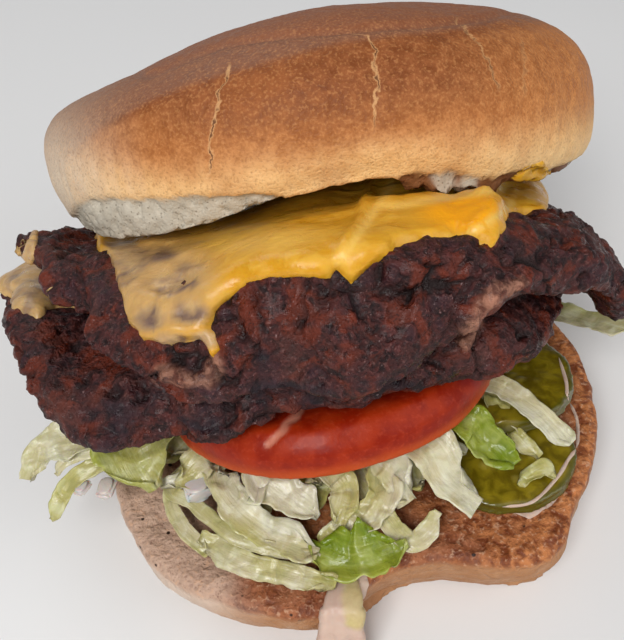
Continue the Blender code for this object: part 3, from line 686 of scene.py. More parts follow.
def make_crown():
    crown, points, normals, pixels = refined_copy("crown", "bun_crown")
    x, y, z = local_points(points, CROWN_FRAME).T
    across = pixels[:, 0]
    up = leaning_axes(CROWN_FRAME)[:, 2]
    facing = ease(-0.1, 0.2, normals @ BACK)
    downward = ease(0.2, -0.5, normals @ up)

    rim_lift = read_table(RIM_LIFT, across) * ease(14.0, 3.0, z) * ease(-8.0, -24.0, y)
    rim_lift -= read_table(CRUMB_SAG, across) * ease(6.5, 0.8, z) * ease(2.0, -20.0, y)
    hanging = between(396.0, 408.0, 490.0, 505.0, across) * downward
    hanging *= ease(-24.0, -32.0, y) * ease(3.4, 1.2, z)
    lumps, _ = cell_noise(points, 3.2, 15)
    hanging *= 1.6 + 1.6 * ease(0.7, 0.2, lumps) + 0.6 * soft_noise(points, 5.0, 14)

    crack_side, crack_near = crown_cracks(pixels, facing)
    split = crack_near * ease(0.7, 0.2, np.abs(crack_side + 0.5 * soft_noise(points, 2.0, 5)))
    past_edge = read_table(GOLDEN_EDGE, across) - pixels[:, 1] + 2.0 * soft_noise(points, 5.0, 13)
    past_crease = read_table(CROWN_CREASE, across) - pixels[:, 1]
    crease_reach = between(120.0, 165.0, 480.0, 530.0, across) * ease(15.0, 22.0, z) * facing
    groove = between(-4.5, 0.0, 0.5, 6.0, past_crease) * crease_reach
    behind = ease(-1.0, 4.0, past_crease) * crease_reach

    skin_edge = 5.2 * between(*CRUMB_RUN, x)
    skin_edge += 2.6 * between(12.0, 20.0, 36.0, 44.0, x) + 0.5 * soft_noise(points, 4.0, 8)
    crumb = ease(skin_edge + 0.4, skin_edge - 0.3, z) * ease(12.0, 0.0, y)
    crumb = np.maximum(crumb, downward * ease(2.0, 1.0, z))
    crumb = np.maximum(crumb, ease(0.25, 0.9, hanging))
    pits, _ = cell_noise(points, 1.7, 3)
    wrinkles = soft_noise(flat_places(np.degrees(np.arctan2(y, x)) / 1.7, z / 9.0), 1.0, 12)
    wrinkles = wrinkles * between(-1.0, 2.0, 4.0, 19.0, z)

    moves = 0.4 * rough_noise(points, 19.0, 2) + 0.09 * soft_noise(points, 1.6, 4)
    moves += 0.13 * wrinkles * (1.0 - crumb)
    moves -= 0.3 * split + 0.9 * groove
    moves -= crumb * (0.9 + 0.9 * ease(0.5, 0.15, pits) + 0.3 * soft_noise(points, 3.0, 9))
    set_points(crown, points + normals * moves[:, None] + (rim_lift - hanging)[:, None] * up)

    pale_reach = 8.5 + 9.0 * ease(-24.0, -56.0, x) + 2.0 * rough_noise(points, 9.0, 6) + 1.6 * wrinkles
    # Browning up the dome with painted shade in it: darker towards the top, lighter towards the right
    shade = ease(6.0, 21.0, z + 2.0 * rough_noise(points, 14.0, 10)) * (1.0 - 0.85 * ease(12.0, 52.0, x))
    shade = shade * (1.0 - 0.5 * ease(-14.0, -50.0, x))
    folded = np.maximum(behind, ease(24.0, 30.0, z) * (1.0 - facing * ease(-6.0, 6.0, -past_crease)))
    scorched = between(2.0, 12.0, 54.0, 62.0, x) * ease(-0.9, -0.1, soft_noise(points, 3.0, 11))
    masks = {
        "baked": ease(1.0, pale_reach + 6.0, z),
        "browned": shade + 0.3 * between(-12.0, 0.0, 2.0, 18.0, past_edge) * facing,
        # Duller crust above the golden edge, plus painted shade along the crease's groove
        "dull": 0.75 * ease(-4.0, 5.0, past_edge) * facing * ease(12.0, 16.0, z) + 0.4 * groove,
        "folded": 0.8 * folded,
        "floury": ease(-28.0, -56.0, x + 3.0 * wrinkles) * ease(30.0, 8.0, z) * ease(15.0, -25.0, y),
        "crack_side": 0.5 + 0.5 * crack_side / CRACK_SPAN,
        "crack_near": crack_near,
        "crumb": crumb,
        "scorched": scorched * (1.0 - 0.8 * spot(pixels, (446, 186), 18, 12)),
    }
    finish_piece(crown, crown_finish(), "bun_crown", "bun_crown", masks=masks)
    return crown


# ---------------------------------------------------------------- heel

def heel_finish():
    toast = Finish("toasted_face", 0.6, 0.3)
    fine = toast.noise(0.9, 5.0)
    mottle = toast.noise(2.2, 5.0, warp=0.5)
    specks = toast.math("MULTIPLY", toast.span(toast.cells(4.2), 0.13, 0.08), toast.mask("speckled"))
    face = toast.layers(
        (106, 52, 28),
        (mottle, 0.35, 0.65, 1.0, (146, 84, 50)),
        (toast.noise(7.0, 4.0), 0.46, 0.66, 0.75, (168, 108, 74)),
        ("scorched", toast.layers((118, 58, 26), (mottle, 0.35, 0.62, 1.0, (190, 120, 70)))),
        ("pale", toast.blend(mottle, (174, 140, 118), (210, 180, 158))),
        ("soaked", (104, 52, 28)),
        (toast.cells(0.9), 0.26, 0.08, 0.4, (96, 50, 28)),
        (fine, 0.54, 0.7, 0.6, (204, 160, 128)),
        (fine, 0.46, 0.3, 0.4, (96, 52, 34)),
        (specks, (40, 20, 12)),
    )
    crust = toast.layers(toast.blend(mottle, (186, 138, 96), (156, 104, 66)), ("pale", (212, 190, 172)))
    toast.colour(toast.blend("crust", face, crust))
    toast.roughness(toast.span(mottle, 0.3, 0.7, 0.4, 0.7))
    toast.bumps((fine, 0.45), (mottle, 0.6))
    return toast.material


# Juice-soaked places of the heel, as pixels and their reach
SOAKED_SPOTS = (((190, 465), 40, 26), ((320, 455), 46, 28), ((440, 475), 44, 32), ((415, 530), 34, 16))


def make_heel():
    heel, points, normals, pixels = refined_copy("heel", "bun_heel")
    x, y, z = points.T
    top = ease(0.45, 0.8, normals[:, 2]) * ease(10.5, 12.5, z)
    resting = ease(0.7, 0.0, z)
    pits, _ = cell_noise(points, 1.5, 31)
    wide_pits, _ = cell_noise(points, 3.4, 35)
    moves = 0.45 * rough_noise(points, 4.0, 33, 4) - 0.5 * top * ease(0.45, 0.15, pits)
    moves -= 0.4 * top * ease(0.42, 0.1, wide_pits)
    set_points(heel, points + normals * (moves * (1.0 - resting))[:, None])

    reach = np.hypot(x, y)
    rim = ease(43.0, 50.0, reach + 2.0 * soft_noise(points, 3.0, 38))
    toasted = ease(-0.1, 0.5, rough_noise(points, 12.0, 37)) * ease(-26.0, -6.0, x)
    masks = {
        "crust": ease(13.2, 11.6, z + 0.5 * soft_noise(points, 4.0, 36)),
        "scorched": np.maximum(rim * ease(-5.0, 22.0, x), 0.75 * toasted),
        "pale": 0.9 * ease(-18.0, -34.0, x + 4.0 * soft_noise(points, 7.0, 39)),
        "soaked": 0.75 * spots(pixels, SOAKED_SPOTS) * top,
        "speckled": ease(30.0, 38.0, reach),
    }
    finish_piece(heel, heel_finish(), "bun_heel", "bun_heel", masks=masks)
    return heel


# ---------------------------------------------------------------- patties

def meat_finish():
    meat = Finish("griddled_beef", 0.5, 0.24, coat=(0.04, 0.1))
    fine = meat.noise(0.55, 4.0)
    grain = meat.noise(1.7, 5.0, warp=0.6)
    patches = meat.noise(5.5, 5.0, warp=0.6)
    meat.colour(meat.layers(
        (26, 7, 8),
        (grain, 0.34, 0.64, 1.0, (80, 36, 33)),
        (patches, 0.5, 0.62, 0.9, (106, 40, 20)),
        (patches, 0.46, 0.34, 0.6, (56, 32, 40)),
        (meat.noise(10.0, 4.0, warp=0.4), 0.54, 0.7, 0.5, (94, 54, 46)),
        (fine, 0.56, 0.7, 0.45, (130, 86, 80)),
        (fine, 0.44, 0.3, 0.6, (20, 8, 10)),
        # painted glints: small light dots that stand in for wet highlights
        (meat.noise(0.7, 2.0), 0.68, 0.78, 0.45, (186, 158, 156)),
        ("fat", meat.layers((104, 58, 44), (grain, 0.35, 0.6, 1.0, (176, 124, 100)))),
        ("charred", meat.blend(grain, (14, 12, 20), (46, 34, 44))),
        # painted shade in the hollows, crevices and pocks
        ("hollow", (24, 8, 7)),
    ))
    meat.roughness(meat.span(meat.noise(1.6, 3.0), 0.52, 0.36, 0.62, 0.2))
    meat.bumps((fine, 0.42), (grain, 0.8))
    return meat.material


# Marks on the front of the meat, as pixels: light fatty ridges, holes, crevices and charred places
FAT_RIDGES = (
    ((523, 284), (500, 290), (482, 303), (471, 322), (466, 342)),
    ((214, 362), (208, 380), (184, 384), (160, 374)),
)
MEAT_HOLES = (
    ((525, 332), 9, 10), ((566, 242), 8, 8), ((587, 282), 7, 8), ((405, 300), 17, 9), ((434, 262), 9, 5),
)
MEAT_CREVICES = (
    ((318, 238), (311, 262), (303, 292), (299, 330)),
    ((410, 300), (434, 282), (447, 262)),
    ((480, 262), (470, 283), (456, 300), (452, 330)),
    ((252, 300), (262, 322), (256, 352)),
    ((360, 262), (352, 292), (366, 318)),
)
CHAR_SPOTS = (
    ((205, 425), 60, 14), ((112, 420), 60, 28), ((290, 395), 60, 16), ((400, 385), 60, 10),
    ((262, 360), 14, 12),
)
# Strip where the lower patty's charred front edge droops onto the lettuce
LOW_EDGE = ((60, 440), (120, 448), (200, 446), (240, 436))


def make_patty(name, node, seed, material, slice_cover):
    """A patty with its relief, which stays low under a melted slice; also gives the smooth base."""
    patty, points, normals, pixels = refined_copy(name, node)
    base = refine(node_copy(name + "_base", node), *MEAT_BASE)
    facing = ease(0.0, 0.2, normals @ BACK)
    warped = points + 1.3 * wander(points, 4.0, seed, 3)
    big, big_second = cell_noise(warped, 5.6, seed)
    small, small_second = cell_noise(warped, 2.2, seed + 7)
    lumps = ease(0.0, 0.55, big_second - big)
    grains = ease(0.0, 0.6, small_second - small)
    folds = rough_noise(warped, 15.0, seed + 3, 2)
    pocks, _ = cell_noise(warped, 4.4, seed + 9)
    pocks = ease(0.22, 0.08, pocks)
    crevice = ease(0.09, 0.0, np.abs(rough_noise(warped, 13.0, seed + 5)))
    shaken = pixels + 3.0 * soft_noise(points, 3.0, seed)[:, None]
    crevice = np.maximum(crevice, 0.9 * near_lines(shaken, MEAT_CREVICES, 6.0, 0.5) * facing)
    shaken = pixels + 3.0 * soft_noise(points, 2.5, seed)[:, None]
    fat = near_lines(shaken, FAT_RIDGES, 12.0, 3.0) * facing
    charred = spots(pixels, CHAR_SPOTS, 2.0) * facing * ease(-0.6, 0.2, rough_noise(points, 4.0, seed + 2))
    droop = near_lines(pixels, (LOW_EDGE,), 16.0, 4.0) * facing

    depth = 0.55 * (lumps - 0.7) + 0.34 * (grains - 0.7) + 1.4 * folds - 1.0 * crevice - 0.3 * pocks
    depth += 0.3 * rough_noise(points, 1.6, seed + 4) + 0.8 * fat + 1.2 * droop
    depth -= 1.8 * spots(pixels, MEAT_HOLES) * facing
    covered = ease(0.0, 1.6, slice_cover(points, normals)[0])
    depth += covered * (np.minimum(depth, 0.3) - depth)
    set_points(patty, points + normals * depth[:, None])

    gaps = (1.0 - grains) * (1.0 - 0.6 * lumps)
    masks = {
        # Painted shade: darker where the meat sinks deep, between grains, in crevices and in pocks
        "hollow": 0.8 * ease(-1.2, -2.6, depth) + 0.35 * gaps + 0.5 * crevice + 0.3 * pocks,
        "fat": 0.8 * fat,
        "charred": 0.85 * charred,
    }
    finish_piece(patty, material, "patty", node, masks=masks)
    return patty, base


# ---------------------------------------------------------------- cheese

def cheese_finish():
    cheese = Finish("melted_cheese", 0.4, 0.28, coat=(0.06, 0.15), scatter=(0.2, 0.002, (1.0, 0.55, 0.15)))
    blotch = cheese.noise(4.0, 4.0, warp=0.6)
    streaks = cheese.noise(1.6, 4.0, place=cheese.stretched(0.45, 1.0, 1.0), warp=0.4)
    fine = cheese.noise(0.7, 3.0)
    cheese.colour(cheese.layers(
        (200, 142, 26),
        (blotch, 0.35, 0.65, 1.0, (214, 160, 46)),
        (streaks, 0.5, 0.75, 0.4, (222, 176, 80)),
        # painted light: brighter, more saturated cheese where the crown's rim shades the slice
        ("deep", (234, 158, 10)),
        # paler cheese; along the upper slice's fold crests this is a painted highlight
        ("pale", (228, 182, 84)),
        ("thin", cheese.layers((196, 162, 112), (blotch, 0.35, 0.65, 1.0, (170, 136, 98)))),
        ("meat", cheese.blend(fine, (92, 68, 64), (122, 98, 86))),
    ))
    cheese.roughness(cheese.span(blotch, 0.3, 0.7, 0.26, 0.48))
    cheese.bumps((blotch, 0.25), (streaks, 0.12), (fine, 0.05))
    return cheese.material


# Where the upper slice ends on the meat, as pixels from its left end round to its right end
CHEESE_EDGE = (
    (92, 214), (99, 232), (108, 257), (113, 270), (121, 296), (128, 322), (140, 338), (160, 344),
    (182, 339), (199, 340), (213, 360), (219, 350), (212, 334), (206, 326), (213, 312), (226, 300),
    (246, 288), (271, 279), (300, 279), (321, 279), (330, 274), (337, 267), (345, 276), (353, 280),
    (368, 268), (387, 252), (396, 244), (408, 238), (432, 236), (455, 230), (466, 232), (480, 237),
    (495, 247), (503, 236), (510, 217), (520, 207), (544, 205), (551, 190), (556, 160),
)
# Crests of the folds, as pixels: the slice is thicker along them, and painted paler there as a highlight
CHEESE_FOLDS = (
    ((391, 186), (384, 197), (376, 209), (356, 238), (338, 262)),
    ((380, 205), (396, 206), (416, 202), (455, 196), (510, 186)),
    ((470, 232), (490, 222), (512, 204)),
)
THIN_SPOTS = (
    ((132, 262), 30, 24), ((168, 284), 34, 17), ((150, 318), 28, 22), ((190, 312), 28, 20),
    ((205, 340), 20, 14), ((122, 246), 22, 12), ((168, 340), 22, 10), ((190, 268), 24, 8),
)
POKE_SPOTS = (
    ((124, 282), 18, 10), ((158, 254), 26, 9), ((186, 284), 18, 9), ((150, 318), 16, 14),
    ((186, 314), 24, 10), ((178, 339), 13, 5), ((108, 264), 9, 12), ((165, 292), 12, 7),
)
# Columns of the frame where the upper slice ends at the left and at the right
SLICE_ENDS = (96.0, 549.0)
# How near to its CAD solid a slice still covers the meat
SLICE_REACH = 2.6


def near_slab(points, node, seed):
    """Millimetres that places lie inside the uneven edge of a CAD slice."""
    slab = surface_tree(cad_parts[node])
    gap = np.array([slab.find_nearest(Vector(point))[3] for point in points])
    return SLICE_REACH - gap + 0.5 * soft_noise(points, 6.0, seed)


def melted_marks(points, pixels):
    """Masks of the melted slice: thin places, meat that shows through, and folds."""
    thin = spots(pixels, THIN_SPOTS)
    poke = spots(pixels + 4.0 * wander(points, 2.4, 64), POKE_SPOTS)
    return thin, poke, near_lines(pixels, CHEESE_FOLDS, 7.0, 0.5)


def upper_cover(points, normals):
    """Coverage and thickness of the upper slice, which ends on the front where the photograph shows."""
    pixels = pixels_of(points)
    ring = CHEESE_EDGE + ((CHEESE_EDGE[-1][0], 0), (CHEESE_EDGE[0][0], 0))
    front = seen_reach(points, normals, (ring,), 2.0 * wander(points, 2.4, 64), CHEESE_EDGE)
    ends = np.minimum(pixels[:, 0] - SLICE_ENDS[0], SLICE_ENDS[1] - pixels[:, 0]) / PIXELS_PER_MM
    back = np.minimum(near_slab(points, "cheese_upper", 62), ends + 8.0 * ease(24.0, 36.0, points[:, 1]))
    thin, poke, fold = melted_marks(points, pixels)
    thickness = 1.5 + 0.35 * rough_noise(points, 9.0, 61) + 0.8 * fold - 0.8 * thin - 0.5 * poke
    swell = ease(234.0, 202.0, pixels[:, 1]) * ease(220.0, 320.0, pixels[:, 0]) * ease(1.5, 6.5, front)
    thickness += 4.6 * swell + 3.0 * spot(pixels, (526, 180), 36, 32)
    return back + (front - back) * ease(8.0, 0.0, points[:, 1]), thickness


def make_upper_cheese(material, base):
    """The melted slice hugs the meat."""
    cheese = film_on(base, "cheese_upper_melted", upper_cover, 3, 1.6)
    points, _, pixels = surface_of(cheese)
    thin, poke, fold = melted_marks(points, pixels)
    patchy = ease(-0.7, 0.3, rough_noise(points, 3.4, 69))
    masks = {
        "thin": 0.95 * np.maximum(thin, 0.75 * spot(pixels, (158, 285), 78, 74)),
        "meat": 0.9 * poke * patchy + 0.45 * thin * ease(0.0, 0.5, rough_noise(points, 2.6, 70)),
        # Painted light that makes up for the shade under the crown's rim
        "deep": spot(pixels, (465, 212), 60, 26),
        # Paler along the fold crests, which is a painted highlight, and in one patch
        "pale": np.maximum(fold, 0.55 * spot(pixels, (250, 238), 90, 22)),
    }
    finish_piece(cheese, material, "cheese", "cheese_upper", masks=masks)


# Where the lower slice shows at the left: on the lower patty, and clinging to the upper one
LOWER_SLICE_CORNER = (
    (-12, 250), (62, 250), (47, 298), (48, 314), (38, 322), (29, 334), (22, 319), (8, 316), (-12, 300),
)
CLINGING_EDGE = (
    (31, 230), (41, 230), (38, 246), (35, 262), (38, 280), (44, 292), (30, 300), (6, 292), (6, 276),
    (16, 260), (24, 246),
)


def lower_cover(points, normals):
    """Coverage and thickness of the lower slice, whose left corner shows."""
    corner = seen_reach(points, normals, (LOWER_SLICE_CORNER,), 3.0 * wander(points, 2.6, 67))
    slab = near_slab(points, "cheese_lower", 66)
    corner_share = ease(-40.0, -48.0, points[:, 0]) * ease(6.0, -2.0, points[:, 1])
    thickness = 1.6 + 0.35 * rough_noise(points, 7.0, 63)
    return slab + (np.minimum(slab + 2.0, corner) - slab) * corner_share, thickness


def make_lower_cheese(material, base, upper_meat):
    cheese = film_on(base, "cheese_lower_melted", lower_cover, 3, 1.6)
    finish_piece(cheese, material, "cheese", "cheese_lower")
    clinging = patch_on(upper_meat, "cheese_lower_cling", (CLINGING_EDGE,), 0.8, material, "cheese", 10)
    for piece in (cheese, clinging):
        points = points_of(piece)
        paint(piece, "thin", 0.85 + 0.3 * rough_noise(points, 5.0, 69))
        paint(piece, "meat", 0.6 * ease(0.1, 0.6, rough_noise(points, 3.5, 67)))
        paint(piece, "pale", 0.6 * spot(pixels_of(points), (34, 307), 16, 14))


# ---------------------------------------------------------------- tomato

TOMATO_STREAK = ((300, 408), (290, 420), (279, 433), (268, 445))


def tomato_finish():
    tomato = Finish("tomato", 0.45, 0.15, coat=(0.04, 0.1), scatter=(0.12, 0.003, (1.0, 0.25, 0.12)))
    mottle = tomato.noise(4.0, 4.0)
    fine = tomato.noise(0.8, 3.0)
    tomato.colour(tomato.layers(
        (130, 26, 4),
        (mottle, 0.35, 0.65, 1.0, (152, 42, 8)),
        ("orange", (186, 78, 28)),
        ("dark", (128, 10, 4)),
        (fine, 0.5, 0.75, 0.2, (196, 84, 54)),
        ("streak", (200, 130, 106)),
    ))
    tomato.roughness(tomato.span(mottle, 0.3, 0.7, 0.36, 0.5))
    tomato.bumps((mottle, 0.25), (fine, 0.05))
    return tomato.material


def make_tomato():
    tomato, points, normals, pixels = refined_copy("tomato_slice", "tomato")
    z = local_points(points, TOMATO_FRAME)[:, 2]
    streak = near_lines(pixels + 2.0 * soft_noise(points, 2.0, 71)[:, None], (TOMATO_STREAK,), 5.5, 1.5)
    depth = 0.35 * rough_noise(points, 9.0, 72) - 0.25 * streak
    set_points(tomato, points + normals * depth[:, None])
    masks = {
        "orange": 0.7 * ease(3.2, 0.8, z),
        "dark": 0.8 * spot(pixels, (470, 372), 26, 22),
        "streak": 0.75 * streak,
    }
    finish_piece(tomato, tomato_finish(), "tomato", "tomato", masks=masks)
    return tomato


# ---------------------------------------------------------------- pickles

def pickle_finish():
    pickle = Finish("pickle", 0.3, coat=(0.3, 0.12), scatter=(0.3, 0.003, (0.8, 1.0, 0.2)))
    mottle = pickle.noise(3.0, 4.0, warp=0.5)
    fine = pickle.noise(0.7, 3.0)
    pickle.colour(pickle.layers(
        (98, 82, 6),
        (mottle, 0.35, 0.65, 1.0, (138, 120, 22)),
        ("seeds", (156, 140, 62)),
        (fine, 0.55, 0.75, 0.3, (92, 98, 12)),
        ("rind", (84, 78, 10)),
    ))
    pickle.bumps((mottle, 0.2), (fine, 0.06))
    return pickle.material


def make_pickle(node, material):
    chip, points, normals, _ = refined_copy(node + "_chip", node)
    local = local_points(points, PICKLE_FRAMES[node])
    reach = np.hypot(local[:, 0], local[:, 1])
    radius = reach.max()
    around = np.arctan2(local[:, 1], local[:, 0])
    ridges = np.sin(around * 13.0) * ease(radius - 2.0, radius, reach)
    seeds, _ = cell_noise(local * np.array([1.0, 1.0, 0.3]), 3.0, 81)
    bumps = ease(0.72, 0.5, reach / radius) * ease(0.45, 0.15, seeds)
    depth = 0.12 * ridges + 0.3 * bumps + 0.3 * rough_noise(points, 5.0, 83)
    set_points(chip, points + normals * depth[:, None])
    masks = {"rind": ease(radius - 1.6, radius - 0.6, reach), "seeds": 0.7 * bumps}
    finish_piece(chip, material, "pickle", node, masks=masks)
    return chip


# ---------------------------------------------------------------- lettuce

# Faces along and across a shred that shows, and one that fills
SHRED_GRID = (48, 14)
FILLER_GRID = (22, 8)
# The side that shreds turn to
SHRED_FACING = (0.05, -0.45, 0.9)

# Each kind of shred: thickness, crumpling, and how uneven its edges are
SHRED_KINDS = {
    "rib": (1.4, 0.45, 0.16),
    "strip": (0.8, 0.7, 0.26),
    "leaf": (0.6, 1.2, 0.4),
}

# Each shred: kind, width, cupping, green at its two long edges, and the points that it passes
SHREDS = (
    # fork and wide blade at the front left
    ("strip", 2.8, 0.3, 0.2, 0.14, ((-30, -14, 20), (-36.3, -23.4, 20), (-31.8, -27.9, 19.5),
     (-23.5, -36.1, 18.5), (-9.2, -41.2, 17.6))),
    ("strip", 3.0, 0.3, 0.16, 0.2, ((-32, -16, 18.5), (-36.7, -24, 19.2), (-34.3, -31.6, 17.8),
     (-29.4, -37, 17))),
    ("strip", 4.8, 0.5, 0.24, 0.14, ((-31.5, -34.6, 17.4), (-23.8, -39.9, 17.2), (-14.9, -43.6, 17),
     (-7.1, -47.1, 16.8))),
    ("leaf", 6.8, 0.8, -0.1, 0.2, ((-26.6, -21.8, 24.6), (-26.4, -26.2, 24), (-23.6, -31.4, 22.5),
     (-17.6, -36.2, 20.4), (-9.0, -39.8, 18.6))),
    ("leaf", 7.4, 1.6, -0.08, 0.02, ((-18, -18, 27), (-18.6, -27, 26), (-14.4, -31.6, 23.8),
     (-9.1, -35.8, 21.8))),
    # middle
    ("leaf", 6.0, 1.0, 0.28, 0.16, ((-5, -16, 26), (-6, -27, 27), (-3.4, -31.8, 24), (-5.8, -36.4, 20.6))),
    ("leaf", 8.0, 1.2, 0.02, 0.14, ((-4, -13, 25), (4.4, -26.8, 27.4), (7.2, -30.6, 25),
     (9.4, -33.8, 21.8))),
    ("strip", 3.8, 0.6, 0.24, 0.08, ((-3, -20, 22), (3, -35.3, 20.5), (5.4, -38.7, 18.5), (8, -40.3, 17.6),
     (11.2, -38.8, 18.6), (13.7, -37.2, 21))),
    ("leaf", 6.0, 1.2, 0.06, 0.26, ((3.8, -28.8, 25), (2.8, -33.4, 23.4), (-0.8, -36.5, 21.5),
     (-5.9, -37.6, 19.8))),
    ("leaf", 11.0, 1.8, 0.98, 0.66, ((-10.8, -37.8, 19.0), (-3, -42.2, 19.0), (6.6, -40.0, 19.0))),
    ("strip", 2.2, 0.3, 0.3, 0.2, ((-2.7, -30.8, 23.6), (-3.5, -35.0, 21.6), (-6.8, -36.9, 19.8),
     (-9.5, -37.4, 18.4))),
    # ribs and leaves at the right
    ("rib", 9.0, 1.4, 0.0, 0.0, ((-4, -10, 24.2), (12.1, -25.4, 28.4), (16.4, -30.3, 23.5),
     (21.8, -34.6, 20.2))),
    ("leaf", 7.0, 1.8, 0.92, 0.76, ((-2, -6, 23.4), (19.3, -21.8, 28.6), (24, -25.1, 26),
     (28.4, -29.4, 22))),
    ("strip", 4.4, 0.8, 0.04, -0.06, ((0, -2, 22), (25, -11, 26.8), (34, -19.4, 26.6),
     (40.1, -26.2, 22.6))),
    ("leaf", 5.4, 0.6, 0.3, 0.22, ((2, -4, 23), (25.8, -10.5, 24.6), (28.8, -15.2, 24.8), (31.5, -19, 24),
     (33.8, -21.1, 22.4))),
    ("leaf", 3.2, 0.4, 0.3, 0.2, ((28.4, -20.6, 21.8), (30.5, -22.7, 21.8), (32.1, -25, 21.2),
     (34, -26.9, 20.2))),
    ("leaf", 3.0, 0.4, 0.4, 0.28, ((29.2, -31, 19), (32.5, -29.2, 19.6), (34.9, -28.6, 19.6),
     (36.8, -30.2, 18.8))),
    # left leaf, hanging arm and the pale leaf beyond it
    ("leaf", 13.0, 2.0, 0.34, 0.52, ((-30, -4, 27), (-43, -13, 29), (-41.8, -20.8, 27.5),
     (-38.6, -25.2, 22.4))),
    ("strip", 3.6, 0.6, 0.3, 0.36, ((-26, -6, 24), (-44.2, -18.3, 26), (-51.4, -20.1, 24.5),
     (-55.8, -22, 22.5), (-58.4, -24.2, 20), (-60.6, -26, 17.8))),
    ("leaf", 6.4, 1.2, 0.02, 0.08, ((-28, -4, 24), (-46, -15.4, 28.6), (-56.6, -16.8, 29),
     (-60.6, -18.0, 27.4), (-62.6, -20.8, 23.6))),
    ("strip", 2.4, 0.3, 0.1, 0.1, ((-30, -8, 23), (-48, -18, 27), (-54.6, -18.6, 26.4),
     (-58.4, -20.0, 24))),
    # hidden side: shreds round the back of the tomato
    ("leaf", 6.0, 0.6, 0.4, 0.7, ((-24, 2, 19), (-40, 8, 18), (-37, 24, 17.4), (-22, 35, 16.8),
     (-4, 39, 16.6))),
    ("strip", 6.0, 0.6, 0.1, 0.3, ((-14, 37, 16.8), (4, 39, 16.6), (20, 34.5, 16.8), (33, 24, 17.2),
     (40, 12.5, 18.4))),
    ("leaf", 5.0, 0.8, 0.2, 0.5, ((-33, 16, 17.6), (-42, 26, 17.2), (-44, 37, 16.4))),
    ("leaf", 4.6, 0.6, 0.6, 0.8, ((29, 24, 17.2), (42, 26, 17.4), (51, 22, 16.6))),
    ("strip", 4.4, 0.7, 0.3, 0.15, ((-24, 4, 19), (-44, 2, 20.4), (-55, 5, 18.6))),
    ("strip", 5.0, 0.9, 0.16, 0.06, ((33, 20, 17.6), (47, 13, 20.6), (56, 3, 24.4), (60, -0.8, 25.4))),
)


def lettuce_finish():
    leaf = Finish("lettuce", 0.34, 0.4, coat=(0.14, 0.12), scatter=(0.3, 0.002, (0.8, 1.0, 0.35)))
    green = leaf.mask("green")
    blotch = leaf.noise(3.4, 4.0, warp=0.5)
    fine = leaf.noise(0.6, 3.0)
    fibres = leaf.noise(1.0, 3.0, place=leaf.strand_place(0.7, 7.0))
    shade = leaf.blend(green, (148, 144, 98), (78, 102, 10))
    light = leaf.blend(green, (222, 221, 198), (158, 168, 56))
    pale = leaf.layers((190, 180, 146), (green, 0.0, 0.35, 1.0, (170, 162, 96)))
    leaf.colour(leaf.layers(
        (194, 189, 161),
        (green, 0.0, 0.06, 1.0, pale),
        (green, 0.3, 0.65, 1.0, (150, 154, 62)),
        (green, 0.6, 0.95, 1.0, (112, 130, 20)),
        (fibres, 0.5, 0.7, 0.32, shade),
        (fibres, 0.46, 0.3, 0.4, light),
        (blotch, 0.5, 0.7, 0.45, light),
        (blotch, 0.45, 0.3, 0.35, shade),
    ))
    leaf.roughness(leaf.span(blotch, 0.3, 0.7, 0.2, 0.45))
    leaf.bumps((blotch, 0.5), (fibres, 0.18), (fine, 0.05))
    return leaf.material


